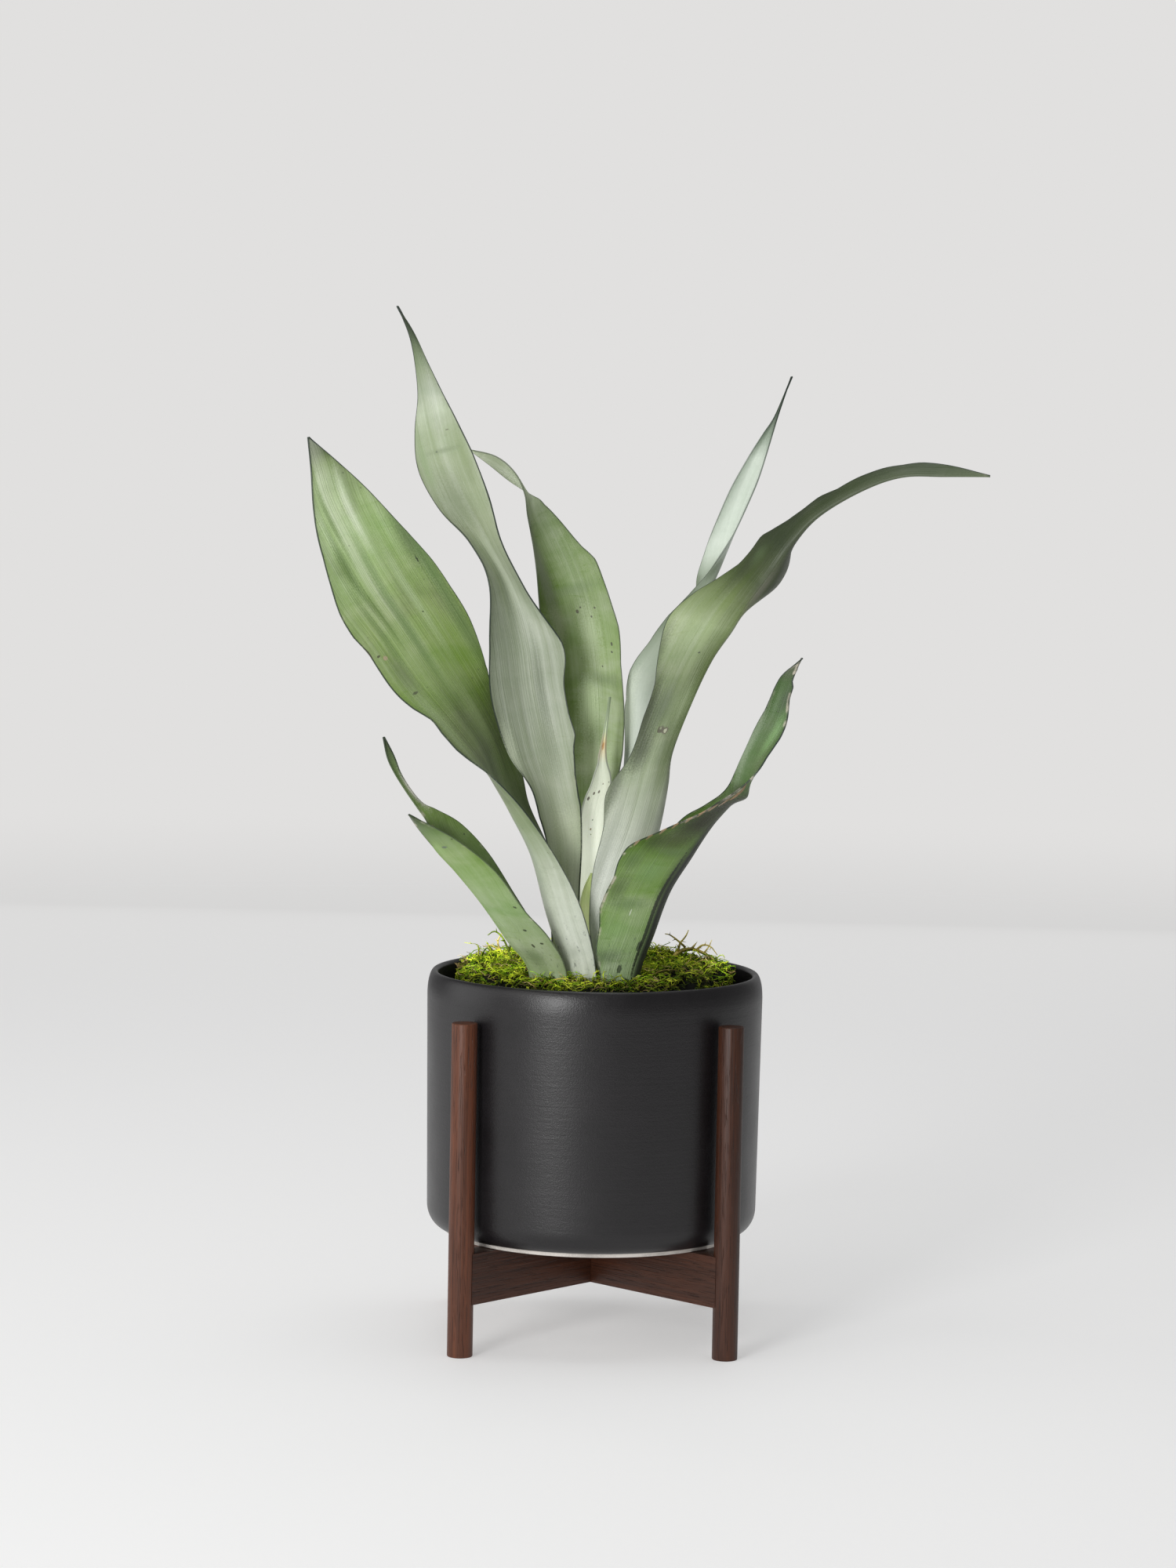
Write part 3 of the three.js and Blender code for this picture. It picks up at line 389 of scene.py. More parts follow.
# Small waves of the margins: rail (0 left or nearer margin, 2 the other) and pairs of place
# along and millimetres outwards.
MARGIN_WAVES = {
    "leaf_1": {
        0: [(0.36, 0), (0.39, -1.8), (0.42, 0), (0.454, 2.5), (0.487, 1.4), (0.511, -2.0), (0.54, -0.2),
            (0.606, -1.4), (0.636, -1.6), (0.668, 1.5), (0.704, 1.5), (0.745, 0), (0.782, -0.7), (0.83, 0)],
        2: [(0.55, -0.5), (0.63, -0.5), (0.675, -1.5), (0.74, -0.8), (0.78, 0.4), (0.84, 0)],
    },
    "leaf_2": {
        0: [(0.19, 0), (0.215, 1.5), (0.244, -0.8), (0.3, 0.3), (0.46, 0.4), (0.5, -0.6), (0.525, -1.6),
            (0.555, -1.2), (0.6, 0), (0.68, 0.7), (0.75, 0.2), (0.8, 0)],
        2: [(0.19, 0), (0.232, 1.3), (0.273, -1.3), (0.304, -1.4), (0.321, 1.2), (0.345, -1.0), (0.397, -1.4),
            (0.44, 0), (0.464, -1.6), (0.549, -1.3), (0.59, 0), (0.696, 0.7),
            (0.75, 0), (0.81, -0.6), (0.9, 0)],
    },
    "leaf_3": {
        0: [(0.5, 0), (0.6, 0.8), (0.65, 0.9), (0.72, 0)],
        2: [(0.29, 0), (0.316, 1.5), (0.352, 0.9), (0.39, -0.5), (0.422, -1.7), (0.465, 0), (0.49, -0.6),
            (0.52, 0), (0.552, 1.4), (0.584, -0.9), (0.65, -0.2), (0.70, 0), (0.723, 1.4), (0.76, 0)],
    },
    "leaf_4": {0: [(0.32, -0.8), (0.351, 1.6), (0.37, 1.2), (0.398, -0.2), (0.44, 1.4), (0.48, 0)]},
    "leaf_5": {
        0: [(0.05, 0), (0.09, 1.2), (0.137, 0), (0.27, -1.2), (0.326, -1.3), (0.36, 0), (0.39, 1.4),
            (0.436, -1.2), (0.48, 0.2), (0.54, 0.4), (0.576, 2.4), (0.6, -0.2), (0.628, -2.0), (0.65, 0.6),
            (0.67, 3.0), (0.684, 4.0), (0.7, 1.4), (0.725, -1.3), (0.75, -1.2), (0.776, 1.0), (0.8, -1.6),
            (0.83, 0.4), (0.863, 1.0), (0.885, 0), (0.91, 1.0), (0.95, 0)],
        2: [(0.5, 0), (0.56, -1.5), (0.62, 0.8), (0.68, 0.8), (0.72, -1.0), (0.76, -1.5), (0.8, 0)],
    },
    "leaf_6": {
        0: [(0.08, 0), (0.13, 0.8), (0.184, -1.8), (0.22, 0.2), (0.28, -2.6), (0.308, 0), (0.344, 1.6),
            (0.384, 0.2), (0.453, 1.4), (0.493, 0.4), (0.528, 3.4), (0.56, 1.0), (0.588, -0.4), (0.615, 1.2),
            (0.668, -0.3), (0.721, 1.2), (0.78, 0.6), (0.83, -0.4), (0.87, 0.8), (0.894, -0.8), (0.95, 0.3)],
        2: [(0.4, 0.4), (0.546, -0.8), (0.62, 0.4), (0.73, 0), (0.787, -0.6), (0.853, 1.0),
            (0.9, 0.8), (0.95, 0)],
    },
    "leaf_7": {0: [(0.56, 0), (0.66, -0.6), (0.719, -1.0), (0.77, 0.6), (0.8, 0)]},
}

# Lobes that hang to one side: rail (0 or 2 a margin, 1 the keel), place along, half length along,
# and the move of the rail in millimetres.
MARGIN_LOBES = {
    "leaf_5": [(2, 0.4, 0.14, (-8, 0, 0)), (2, 0.555, 0.04, (-6, 0, 2)), (2, 0.635, 0.032, (1, -1, -5))],
    "leaf_6": [(1, 0.56, 0.028, (4, 0, -2))],
}


def linear(tone):
    """A tone written as 0xRRGGBB, as the three linear parts that shaders use."""
    parts = [((tone >> shift) & 255) / 255 for shift in (16, 8, 0)]
    return tuple(p / 12.92 if p <= 0.04045 else ((p + 0.055) / 1.055) ** 2.4 for p in parts)


def rgba(tone, scale=1.0):
    """The colour of a tone or of three linear parts, which the scale makes lighter or darker."""
    return (*(part * scale for part in (linear(tone) if isinstance(tone, int) else tone)), 1.0)


class Web:
    """Adds shader nodes to one node tree and links them."""

    def __init__(self, tree):
        self.tree = tree

    def node(self, kind, inputs=None, **settings):
        made = self.tree.nodes.new("ShaderNode" + kind)
        for name, value in settings.items():
            setattr(made, name, value)
        for name, value in (inputs or {}).items():
            self.feed(made.inputs[name], value)
        return made

    def feed(self, socket, value):
        """Links a value to the socket or sets it there. A colour may be a tone."""
        if isinstance(value, bpy.types.NodeSocket):
            self.tree.links.new(value, socket)
        elif socket.type == "RGBA" and isinstance(value, int):
            socket.default_value = rgba(value)
        else:
            socket.default_value = value

    def math(self, operation, *values, clamp=False):
        made = self.node("Math", dict(enumerate(values)), operation=operation, use_clamp=clamp)
        return made.outputs[0]

    def minus(self, first, second):
        return self.math("SUBTRACT", first, second)

    def plus(self, first, second, clamp=False):
        return self.math("ADD", first, second, clamp=clamp)

    def times(self, first, *factors, clamp=False):
        """The product of all the values, clamped at the end where that is asked."""
        for factor in factors[:-1]:
            first = self.math("MULTIPLY", first, factor)
        return self.math("MULTIPLY", first, factors[-1], clamp=clamp)

    def fused(self, value, factor, extra):
        """The value times the factor, plus the extra."""
        return self.math("MULTIPLY_ADD", value, factor, extra)

    def rise(self, value, start, end, low=0.0, high=1.0):
        """Eases from low to high while value goes from start to end."""
        names = ("Value", "From Min", "From Max", "To Min", "To Max")
        values = dict(zip(names, (value, start, end, low, high)))
        return self.node("MapRange", values, interpolation_type="SMOOTHSTEP").outputs[0]

    def mix(self, factor, first, second):
        return self.node("Mix", {0: factor, 6: first, 7: second}, data_type="RGBA").outputs[2]

    def vector(self, x, y, z):
        return self.node("CombineXYZ", {0: x, 1: y, 2: z}).outputs[0]

    def apart(self, vector):
        return self.node("SeparateXYZ", {0: vector}).outputs

    def noise(self, vector, scale=1.0, detail=2.0, roughness=0.5, distortion=0.0):
        names = ("Vector", "Scale", "Detail", "Roughness", "Distortion")
        values = dict(zip(names, (vector, scale, detail, roughness, distortion)))
        return self.node("TexNoise", values).outputs[0]

    def spread(self, vector, *shape):
        """Noise that runs from about -1 to 1."""
        return self.fused(self.noise(vector, *shape), 4.0, -2.0)

    def cells(self, vector, scale):
        return self.node("TexVoronoi", {"Vector": vector, "Scale": scale}).outputs

    def scaled(self, vector, size, rotation=(0, 0, 0)):
        return self.node("Mapping", {"Vector": vector, "Scale": size, "Rotation": rotation}).outputs[0]

    def ramp(self, factor, stops):
        made = self.node("ValToRGB", {0: factor})
        elements = made.color_ramp.elements
        while len(elements) < len(stops):
            elements.new(0.5)
        for element, (place, tone) in zip(elements, stops):
            element.position = place
            element.color = rgba(tone)
        return made.outputs[0]

    def place(self):
        return self.node("TexCoord").outputs["Object"]

    def chart(self, name):
        return self.node("UVMap", uv_map=name).outputs[0]

    def on_blade(self):
        """The places across and along a blade, in millimetres."""
        return self.apart(self.scaled(self.chart("blade"), (1000, 1000, 1000)))[:2]

    def group(self, tree, values):
        return self.node("Group", values, node_tree=tree).outputs

    def blend_shaders(self, factor, first, second, output):
        made = self.node("MixShader", {0: factor, 1: first.outputs[0], 2: second.outputs[0]})
        self.feed(output.inputs["Surface"], made.outputs[0])


def new_group(name, inputs, outputs):
    """An empty shader group with its named sockets, and the web, entry and exit to fill it.
    Whoever places the group feeds all of its inputs."""
    tree = bpy.data.node_groups.new(name, "ShaderNodeTree")
    for way, sockets in (("INPUT", inputs), ("OUTPUT", outputs)):
        for label, kind in sockets.items():
            tree.interface.new_socket(label, in_out=way, socket_type="NodeSocket" + kind)
    entry, leave = tree.nodes.new("NodeGroupInput"), tree.nodes.new("NodeGroupOutput")
    return Web(tree), entry.outputs, leave.inputs


FINISH = {"Colour": "Color", "Roughness": "Float", "Height": "Float"}


def finish_group(web, out, colour, roughness, height):
    for name, value in zip(FINISH, (colour, roughness, height)):
        web.feed(out[name], value)
    return web.tree


def blade_skin_group():
    """Waxy skin of a blade: streaks, cross bands, pale centre, dark margin, scuffs and specks, and
    its painted shade.
    """
    numbers = dict.fromkeys(("Seed", "Left Shade", "Right Shade", *MARK_NAMES), "Float")
    web, given, out = new_group("blade skin", {"Ground": "Color", **numbers}, FINISH)
    across, along = web.on_blade()
    margin, reach, _ = web.apart(web.chart("edge"))
    margin = web.times(margin, 1000.0)

    def at(across_scale, along_scale, shift):
        return web.vector(
            web.times(across, across_scale), web.times(along, along_scale), web.plus(given["Seed"], shift)
        )

    def field(across_scale, along_scale, shift, *shape):
        return web.spread(at(across_scale, along_scale, shift), 1.0, *shape)

    fine = field(1.25, 0.010, 0.0, 2.0)
    middling = field(0.42, 0.008, 3.1, 1.0)
    broad = field(0.15, 0.005, 5.3, 1.5)
    band = field(0.022, 0.05, 9.1, 3.0, 0.5, 0.5)
    thin_band = field(0.05, 0.22, 11.9, 2.0, 0.5, 0.8)
    mottle = field(0.11, 0.08, 13.7, 4.0, 0.6)
    cloud = field(0.035, 0.018, 17.9, 3.0)
    grain = field(0.9, 0.45, 23.7, 3.0, 0.65)
    streaks = web.fused(middling, 0.05, web.fused(fine, 0.05, web.times(broad, 0.11)))
    bands = web.fused(web.rise(thin_band, 0.5, 1.3), -0.12, web.times(band, 0.10))
    tone = web.fused(bands, given["Bands"], web.times(streaks, given["Streaks"]))
    tone = web.fused(grain, 0.035, web.fused(mottle, 0.03, tone))

    # The painted shade changes sides at the shade line and is a little deeper along the margins.
    left, right = given["Left Shade"], given["Right Shade"]
    beyond = web.minus(web.fused(broad, 2.0, across), given["Shade Line"])
    shade = web.fused(web.minus(right, left), web.rise(beyond, -6.0, 6.0), left)
    rim = web.times(web.rise(margin, 7.0, 0.5), 0.16)
    shade = web.plus(web.times(shade, web.fused(mottle, 0.15, 1.0)), rim, clamp=True)
    shaded = web.node(
        "HueSaturation",
        {
            "Hue": web.fused(band, -0.006, 0.5),
            "Saturation": web.minus(web.fused(shade, 0.45, 1.0), web.times(tone, 1.4)),
            "Value": web.times(web.plus(1.0, tone), web.fused(shade, -0.62, 1.0)),
            "Color": given["Ground"],
        },
    ).outputs[0]
    # Painted shade: dark olive clouds drawn over the blade.
    cloud_shade = web.times(web.rise(cloud, 0.0, 1.2), given["Clouds"], clamp=True)
    coloured = web.mix(web.times(cloud_shade, 0.55), shaded, 0x5A6641)

    centre = web.times(
        web.rise(web.math("ABSOLUTE", web.fused(broad, 1.2, across)), 9.0, 0.5),
        web.rise(reach, 0.5, 0.82), web.fused(fine, 0.35, 0.65), given["Centre"], clamp=True,
    )
    coloured = web.mix(centre, coloured, 0xD3DBC2)
    keel = web.times(
        web.rise(web.math("ABSOLUTE", across), 7.5, 2.5), given["Ridge"],
        web.rise(mottle, -1.8, -0.4), web.rise(reach, 0.68, 0.45), clamp=True,
    )
    coloured = web.mix(web.times(keel, 0.93), coloured, 0x20261F)
    # Dark blotches near the foot of each blade, fading out by 125 mm along it.
    blotches = field(0.35, 0.16, 29.1, 4.0, 0.75)
    foot = web.times(web.rise(along, 125.0, 35.0), web.rise(blotches, 0.3, 0.8))
    coloured = web.mix(web.times(foot, 0.7), coloured, 0x343C32)
    cells = web.cells(at(0.11, 0.10, 2.9), 1.0)
    speck = web.times(
        web.rise(cells["Distance"], 0.10, 0.05), given["Specks"],
        web.rise(web.apart(cells["Color"])[0], 0.72, 0.8), clamp=True,
    )
    coloured = web.mix(web.times(speck, 0.8), coloured, 0x34382C)

    # What Scuffs has above 1 makes the rubbed parts longer and keeps them off the far side.
    worn = web.math("MAXIMUM", web.minus(given["Scuffs"], 1.0), 0.0)
    rub = web.fused(worn, 1.1, field(0.0, 0.05, 21.3, 3.0, 0.7))
    rubbed = web.times(
        web.rise(rub, 0.35, 0.9), web.rise(margin, 2.6, 1.2), web.rise(mottle, -0.7, 0.6),
        given["Scuffs"], clamp=True,
    )
    far_side = web.times(web.rise(across, -3.0, 3.0), worn)
    rubbed = web.times(rubbed, web.fused(far_side, -1.4, 1.0))
    coloured = web.mix(web.times(rubbed, 0.8), coloured, 0xCFC6B6)
    line = web.rise(web.fused(mottle, 0.22, margin), 0.9, 0.3)
    line = web.times(line, web.fused(rubbed, -0.6, 0.92), given["Margin"])
    coloured = web.mix(line, coloured, 0x25322A)
    roughness = web.fused(rubbed, 0.2, web.fused(mottle, 0.05, 0.47))
    height = web.fused(band, 0.5, web.fused(fine, 0.35, web.times(broad, 0.6)))
    return finish_group(web, out, coloured, roughness, height)


SPOT_INPUTS = ("Across", "Along", "Half Width", "Half Length", "Softness")


def spot_group():
    """A soft-edged spot at a place on the blade's chart."""
    web, given, out = new_group("blade spot", dict.fromkeys(SPOT_INPUTS, "Float"), {"Mask": "Float"})
    across, along = web.on_blade()
    sideways, lengthways = (
        web.math("DIVIDE", web.minus(place, given[centre]), given[half])
        for place, centre, half in ((across, "Across", "Half Width"), (along, "Along", "Half Length"))
    )
    distance = web.math("SQRT", web.fused(sideways, sideways, web.math("POWER", lengthways, 2.0)))
    ragged = web.spread(web.vector(across, along, 0.0), 0.8, 2.0)
    distance = web.fused(ragged, 0.22, distance)
    web.feed(out["Mask"], web.rise(distance, 1.15, web.minus(1.15, given["Softness"])))
    return web.tree


def walnut_group():
    """Oiled walnut with its grain along the third axis of the vector that it is given."""
    inputs = {"Vector": "Vector", "Light": "Color", "Dark": "Color"}
    web, given, out = new_group("walnut grain", inputs, FINISH)
    vector = given["Vector"]
    figure = web.noise(web.scaled(vector, (70, 70, 4)), 1.0, 4.0, 0.55, 0.6)
    fibre = web.noise(web.scaled(vector, (620, 620, 14)), 1.0, 3.0, 0.6)
    pores = web.noise(web.scaled(vector, (1500, 1500, 48)), 1.0, 1.0)
    tone = web.rise(web.fused(fibre, 0.45, web.times(figure, 0.6)), 0.3, 0.74)
    pore = web.rise(pores, 0.60, 0.70)
    coloured = web.mix(tone, given["Dark"], given["Light"])
    coloured = web.mix(web.times(pore, 0.4), coloured, 0x1C100C)
    return finish_group(web, out, coloured, web.fused(fibre, 0.2, 0.36), web.minus(fibre, pore))


MOSS_INPUTS = ("Root", "Tip", "Dry", "Dryness")


def moss_fibre_group():
    """Moss fibre: dark near its root and bright towards the tip, partly its own colour and partly
    painted shade and light, and drier in patches. The cushion is painted lighter on top and at the
    left, as lit from above and from the left, lighter where it is dry at the right, and painted
    dark in the hollow at the front left, where shade falls."""
    kinds = dict(zip(MOSS_INPUTS, ("Color", "Color", "Color", "Float")))
    web, given, out = new_group("moss fibre", kinds, FINISH)
    along, chance, _ = web.apart(web.chart("strand"))
    x, y, z = web.apart(web.place())
    patch = web.noise(web.place(), 50.0, 2.0, 0.5)
    clump = web.rise(web.noise(web.place(), 130.0, 2.0, 0.6), 0.34, 0.62)
    grain = web.noise(web.place(), 900.0, 2.0)
    # Dark root and bright tip: partly the fibre's own colour, partly painted shade low in the moss and
    # painted light on the tips.
    upward = web.rise(web.fused(chance, 0.5, along), 0.05, 1.25)
    coloured = web.mix(upward, given["Root"], given["Tip"])
    dry = web.rise(web.fused(chance, 0.5, patch), 0.62, 0.95)
    coloured = web.mix(web.times(dry, given["Dryness"], clamp=True), coloured, given["Dry"])
    # Painted light and shade: lighter at the left and on top, as lit from the left and above, and darker in
    # the hollow at the front left. The dry right side is drawn lighter as well.
    middle = web.rise(x, AXIS_X - 0.035, AXIS_X + 0.005, 1.0, 0.7)
    dry_side = web.rise(x, AXIS_X + 0.07, AXIS_X + 0.09, 0.0, 0.4)
    hollow = web.vector(web.plus(x, -0.066 - AXIS_X), web.plus(y, 0.05), 0.0)
    from_shaded_hollow = web.node("VectorMath", {0: hollow}, operation="LENGTH").outputs["Value"]
    lit = web.times(
        web.fused(clump, 0.75, web.fused(grain, 0.6, 0.25)),
        web.rise(patch, 0.3, 0.7, 0.6, 1.35),
        web.rise(z, 0.269, 0.287, 0.4, 1.65),
        web.plus(middle, dry_side),
        web.rise(from_shaded_hollow, 0.008, 0.034, 0.4, 1.0),
    )
    coloured = web.node("HueSaturation", {"Value": lit, "Color": coloured}).outputs[0]
    return finish_group(web, out, coloured, web.fused(grain, 0.2, 0.7), grain)


def new_material(name, settings=()):
    """A material with the given constants on its shader, and the web to fill it."""
    material = bpy.data.materials.new(name)
    material.use_nodes = True
    shader = material.node_tree.nodes["Principled BSDF"]
    for label, value in dict(settings).items():
        shader.inputs[label].default_value = value
    return material, Web(material.node_tree), shader


def dress(web, shader, colour, roughness, height, depth, strength=1.0):
    """Feeds a finish into the shader, with its relief as a bump of the given depth in metres."""
    bump = web.node("Bump", {"Height": height, "Strength": strength, "Distance": depth})
    for name, value in (("Base Color", colour), ("Roughness", roughness), ("Normal", bump.outputs[0])):
        web.feed(shader.inputs[name], value)


def blade_material(name, group, spot, number):
    settings = {
        "Specular IOR Level": 0.45, "Sheen Weight": 0.12, "Sheen Roughness": 0.4,
        "Emission Strength": BLADE_PAINTED_GLOW.get(name, 0.0),
    }
    material, web, shader = new_material(f"{name} skin", settings)
    reach = web.apart(web.chart("edge"))[1]
    shades = web.ramp(reach, [(place, (left, right, 0)) for place, left, right in BLADE_SHADES[name]])
    left_shade, right_shade, _ = web.apart(shades)
    values = {"Ground": web.ramp(reach, BLADE_TONES[name]), "Seed": 11.0 * number}
    values.update({"Left Shade": left_shade, "Right Shade": right_shade})
    skin = web.group(group, {**values, **dict(zip(MARK_NAMES, BLADE_MARKS[name]))})
    colour = skin["Colour"]
    # Patches lay painted light and shade as well as markings; spots lay scars and specks.
    for marks, softness, strength in ((BLADE_PATCHES, 1.1, 0.65), (BLADE_SPOTS, 0.4, 0.85)):
        for *shape, tone in marks.get(name, ()):
            mask = web.group(spot, dict(zip(SPOT_INPUTS, (*shape, softness))))["Mask"]
            colour = web.mix(web.times(mask, strength), colour, tone)
    relief = 0.15 if name == "leaf_4" else 0.8
    dress(web, shader, colour, skin["Roughness"], skin["Height"], 0.0004, relief)
    # Painted light: the glow takes the colour of the skin.
    web.feed(shader.inputs["Emission Color"], colour)
    return material


def walnut_material(name, group, look, rotation, shade):
    material, web, shader = new_material(name, {"Specular IOR Level": 0.38})
    turned = web.scaled(web.place(), (1, 1, 1), rotation)
    light, dark = rgba(look.wood_light, shade), rgba(look.wood_dark, shade)
    wood = web.group(group, {"Vector": turned, "Light": light, "Dark": dark})
    dress(web, shader, wood["Colour"], wood["Roughness"], wood["Height"], 0.0003)
    return material


def moss_material(name, group, values):
    material, web, shader = new_material(name, {"Specular IOR Level": 0.15})
    fibre = web.group(group, dict(zip(MOSS_INPUTS, values)))
    dress(web, shader, fibre["Colour"], fibre["Roughness"], fibre["Height"], 0.0002)
    return material


def glaze_material(look):
    """Satin black glaze with faint throwing lines, a soft mottle and pinholes."""
    material, web, shader = new_material("satin black glaze", {"Specular IOR Level": 0.5})
    place = web.place()
    mottle = web.noise(place, 26.0, 6.0, 0.65)
    lines = web.noise(web.scaled(place, (9, 9, 420)), 1.0, 3.0, 0.6, 0.3)
    grain = web.noise(place, 900.0, 2.0)
    crawl = web.noise(web.scaled(place, (160, 160, 330)), 1.0, 4.0, 0.7, 0.8)
    tone = web.rise(web.fused(lines, 0.35, web.times(mottle, 0.65)), 0.36, 0.7)
    colour = web.mix(tone, rgba(look.glaze_colour), rgba(look.glaze_colour, 1.55))
    rough = web.fused(mottle, 0.16, look.glaze_roughness - 0.08)
    height = web.fused(crawl, 0.22, web.fused(grain, 0.25, web.times(lines, 0.2)))
    dress(web, shader, colour, rough, height, 0.0007, 0.6)
    return material


def clay_material(look):
    """Bare pale clay of the foot ring."""
    material, web, shader = new_material("bare clay")
    grain = web.noise(web.place(), 1100.0, 3.0, 0.7)
    cloud = web.noise(web.place(), 60.0, 3.0)
    tone = web.rise(web.fused(grain, 0.4, web.times(cloud, 0.6)), 0.35, 0.65)
    colour = web.mix(tone, rgba(look.clay_colour, 0.7), rgba(look.clay_colour))
    dress(web, shader, colour, web.fused(grain, 0.1, 0.8), grain, 0.0003)
    return material


def plastic_material():
    """Dark moulded plastic of the nursery pot, with dust and a fine grain."""
    material, web, shader = new_material("nursery pot plastic")
    grain = web.noise(web.place(), 1400.0, 2.0)
    dust = web.noise(web.place(), 40.0, 5.0, 0.7)
    colour = web.mix(web.rise(dust, 0.45, 0.75), 0x1B1C1E, 0x35332F)
    dress(web, shader, colour, web.fused(dust, 0.3, 0.4), grain, 0.0001)
    return material


def soil_material():
    """Crumbly potting mix with bark and pale grit."""
    material, web, shader = new_material("potting mix")
    crumb = web.noise(web.place(), 320.0, 6.0, 0.7)
    clod = web.noise(web.place(), 70.0, 3.0)
    grit = web.cells(web.place(), 260.0)
    picked = web.rise(web.apart(grit["Color"])[0], 0.9, 0.95)
    colour = web.mix(web.rise(crumb, 0.35, 0.65), 0x1D140E, 0x4C3724)
    colour = web.mix(web.times(web.rise(grit["Distance"], 0.3, 0.2), picked), colour, 0xB9B09F)
    dress(web, shader, colour, web.fused(crumb, 0.1, 0.85), web.plus(crumb, clod), 0.002)
    return material


def add_object(name, data):
    made = bpy.data.objects.new(name, data)
    bpy.context.scene.collection.objects.link(made)
    return made


def mesh_from(bm, name):
    mesh = bpy.data.meshes.new(name)
    bm.to_mesh(mesh)
    bm.free()
    return mesh


def piece_from(bm, name, materials, replaced=(), sharp=35.0):
    """Closes the mesh work on a piece and hands the piece to the frame."""
    for face in bm.faces:
        face.smooth = True
    for edge in bm.edges:
        if len(edge.link_faces) == 2 and edge.calc_face_angle(0.0) > math.radians(sharp):
            edge.smooth = False
    hand_over(mesh_from(bm, name), name, materials, replaced)


def hand_over(mesh, name, materials, replaced=()):
    for material in materials:
        mesh.materials.append(material)
    piece = add_object(name, mesh)
    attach(piece, "root")
    if replaced:
        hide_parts(*replaced)


def arc(centre_radius, centre_height, reach_out, reach_up, start, end, steps):
    """Points on a quarter or half ellipse between two angles in degrees."""
    points = []
    for step in range(steps + 1):
        angle = math.radians(start + (end - start) * step / steps)
        points.append(
            (centre_radius + reach_out * math.cos(angle), centre_height + reach_up * math.sin(angle))
        )
    return points


def turned(profile, segments):
    """A closed shape turned about the planter's axis from radius and height pairs."""
    bm = bmesh.new()
    verts = [bm.verts.new((AXIS_X + radius, 0, height)) for radius, height in profile]
    edges = [bm.edges.new(pair) for pair in zip(verts, verts[1:])]
    bmesh.ops.spin(
        bm,
        geom=verts + edges,
        cent=(AXIS_X, 0, 0),
        axis=(0, 0, 1),
        angle=2 * math.pi,
        steps=segments,
        use_merge=True,
        use_duplicate=False,
    )
    bmesh.ops.remove_doubles(bm, verts=bm.verts, dist=1e-6)
    bmesh.ops.recalc_face_normals(bm, faces=bm.faces)
    return bm


def build_planter(look):
    bottom, top = PLANTER_LOW.z, PLANTER_HIGH.z
    wall, floor, foot = 8 * MM, 9 * MM, 3 * MM
    base_radius, foot_radius, foot_width = 125 * MM, 112 * MM, 13 * MM
    corner, inner_corner, bevel = 17 * MM, 10 * MM, 1 * MM
    shoulder_reach, shoulder_drop, inner_round = 5 * MM, 18 * MM, 3 * MM
    crest = RIM_RADIUS - shoulder_reach
    foot_top = bottom + foot
    floor_top = foot_top + floor
    profile = [(0, foot_top), (foot_radius - foot_width - bevel, foot_top)]
    small = bevel * 0.4
    profile += arc(foot_radius - foot_width + small, bottom + small, small, small, 180, 270, 3)
    profile += arc(foot_radius - bevel, bottom + bevel, bevel, bevel, -90, 0, 4)
    profile += arc(foot_radius, foot_top + corner, base_radius - foot_radius, corner, -88, 0, 14)
    steps = 24
    for step in range(1, steps):
        share = step / steps
        low, high = foot_top + corner, top - shoulder_drop
        profile.append((base_radius + (RIM_RADIUS - base_radius) * share, low + (high - low) * share))
    profile += arc(crest, top - shoulder_drop, shoulder_reach, shoulder_drop, 0, 84, 18)
    profile += arc(crest, top - inner_round, inner_round, inner_round, 90, 180, 8)
    inner_base = base_radius - wall - inner_corner
    profile += arc(inner_base, floor_top + inner_corner, inner_corner, inner_corner, 0, -90, 8)
    profile.append((0, floor_top))
    bm = turned(profile, 144)
    for face in bm.faces:
        if face.calc_center_median().z < foot_top + 0.2 * MM:
            face.material_index = 1
    piece_from(
        bm, "planter_body", [glaze_material(look), clay_material(look)], ["planter"], 40
    )


def ease(bm, edges, radius):
    """Rounds the edges by the radius."""
    bmesh.ops.bevel(
        bm, geom=edges, offset=radius, offset_type="OFFSET", affect="EDGES",
        segments=3, profile=0.5, material=-1, clamp_overlap=True,
    )


def build_leg(node, look, material):
    low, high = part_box(node)
    centre = (low + high) / 2
    radius = (high.x - low.x) / 2
    bm = bmesh.new()
    made = bmesh.ops.create_circle(bm, cap_ends=True, segments=48, radius=radius)
    bmesh.ops.translate(bm, verts=made["verts"], vec=(centre.x, centre.y, low.z))
    raised = bmesh.ops.extrude_face_region(bm, geom=bm.faces[:], use_keep_orig=True)
    top = [item for item in raised["geom"] if isinstance(item, bmesh.types.BMVert)]
    bmesh.ops.translate(bm, verts=top, vec=(0, 0, high.z - low.z))
    bmesh.ops.recalc_face_normals(bm, faces=bm.faces)
    ends = [edge for edge in bm.edges if abs(edge.verts[0].co.z - edge.verts[1].co.z) < 1e-6]
    ease(bm, ends, look.edge_round)
    piece_from(bm, node + "_dowel", [material], [node], 50)


def build_bar(node, look, material):
    """The board of a crossbar with its long edges eased."""
    bm = bmesh.new()
    bm.from_mesh(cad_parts[node].data)
    bmesh.ops.remove_doubles(bm, verts=bm.verts, dist=1e-5)
    bmesh.ops.dissolve_limit(bm, angle_limit=math.radians(1), verts=bm.verts, edges=bm.edges)
    long_edges = [
        edge
        for edge in bm.edges
        if edge.calc_length() > 15 * MM
        and len(edge.link_faces) == 2
        and edge.calc_face_angle(0.0) > math.radians(60)
    ]
    ease(bm, long_edges, look.edge_round)
    piece_from(bm, node + "_board", [material], [node], 30)


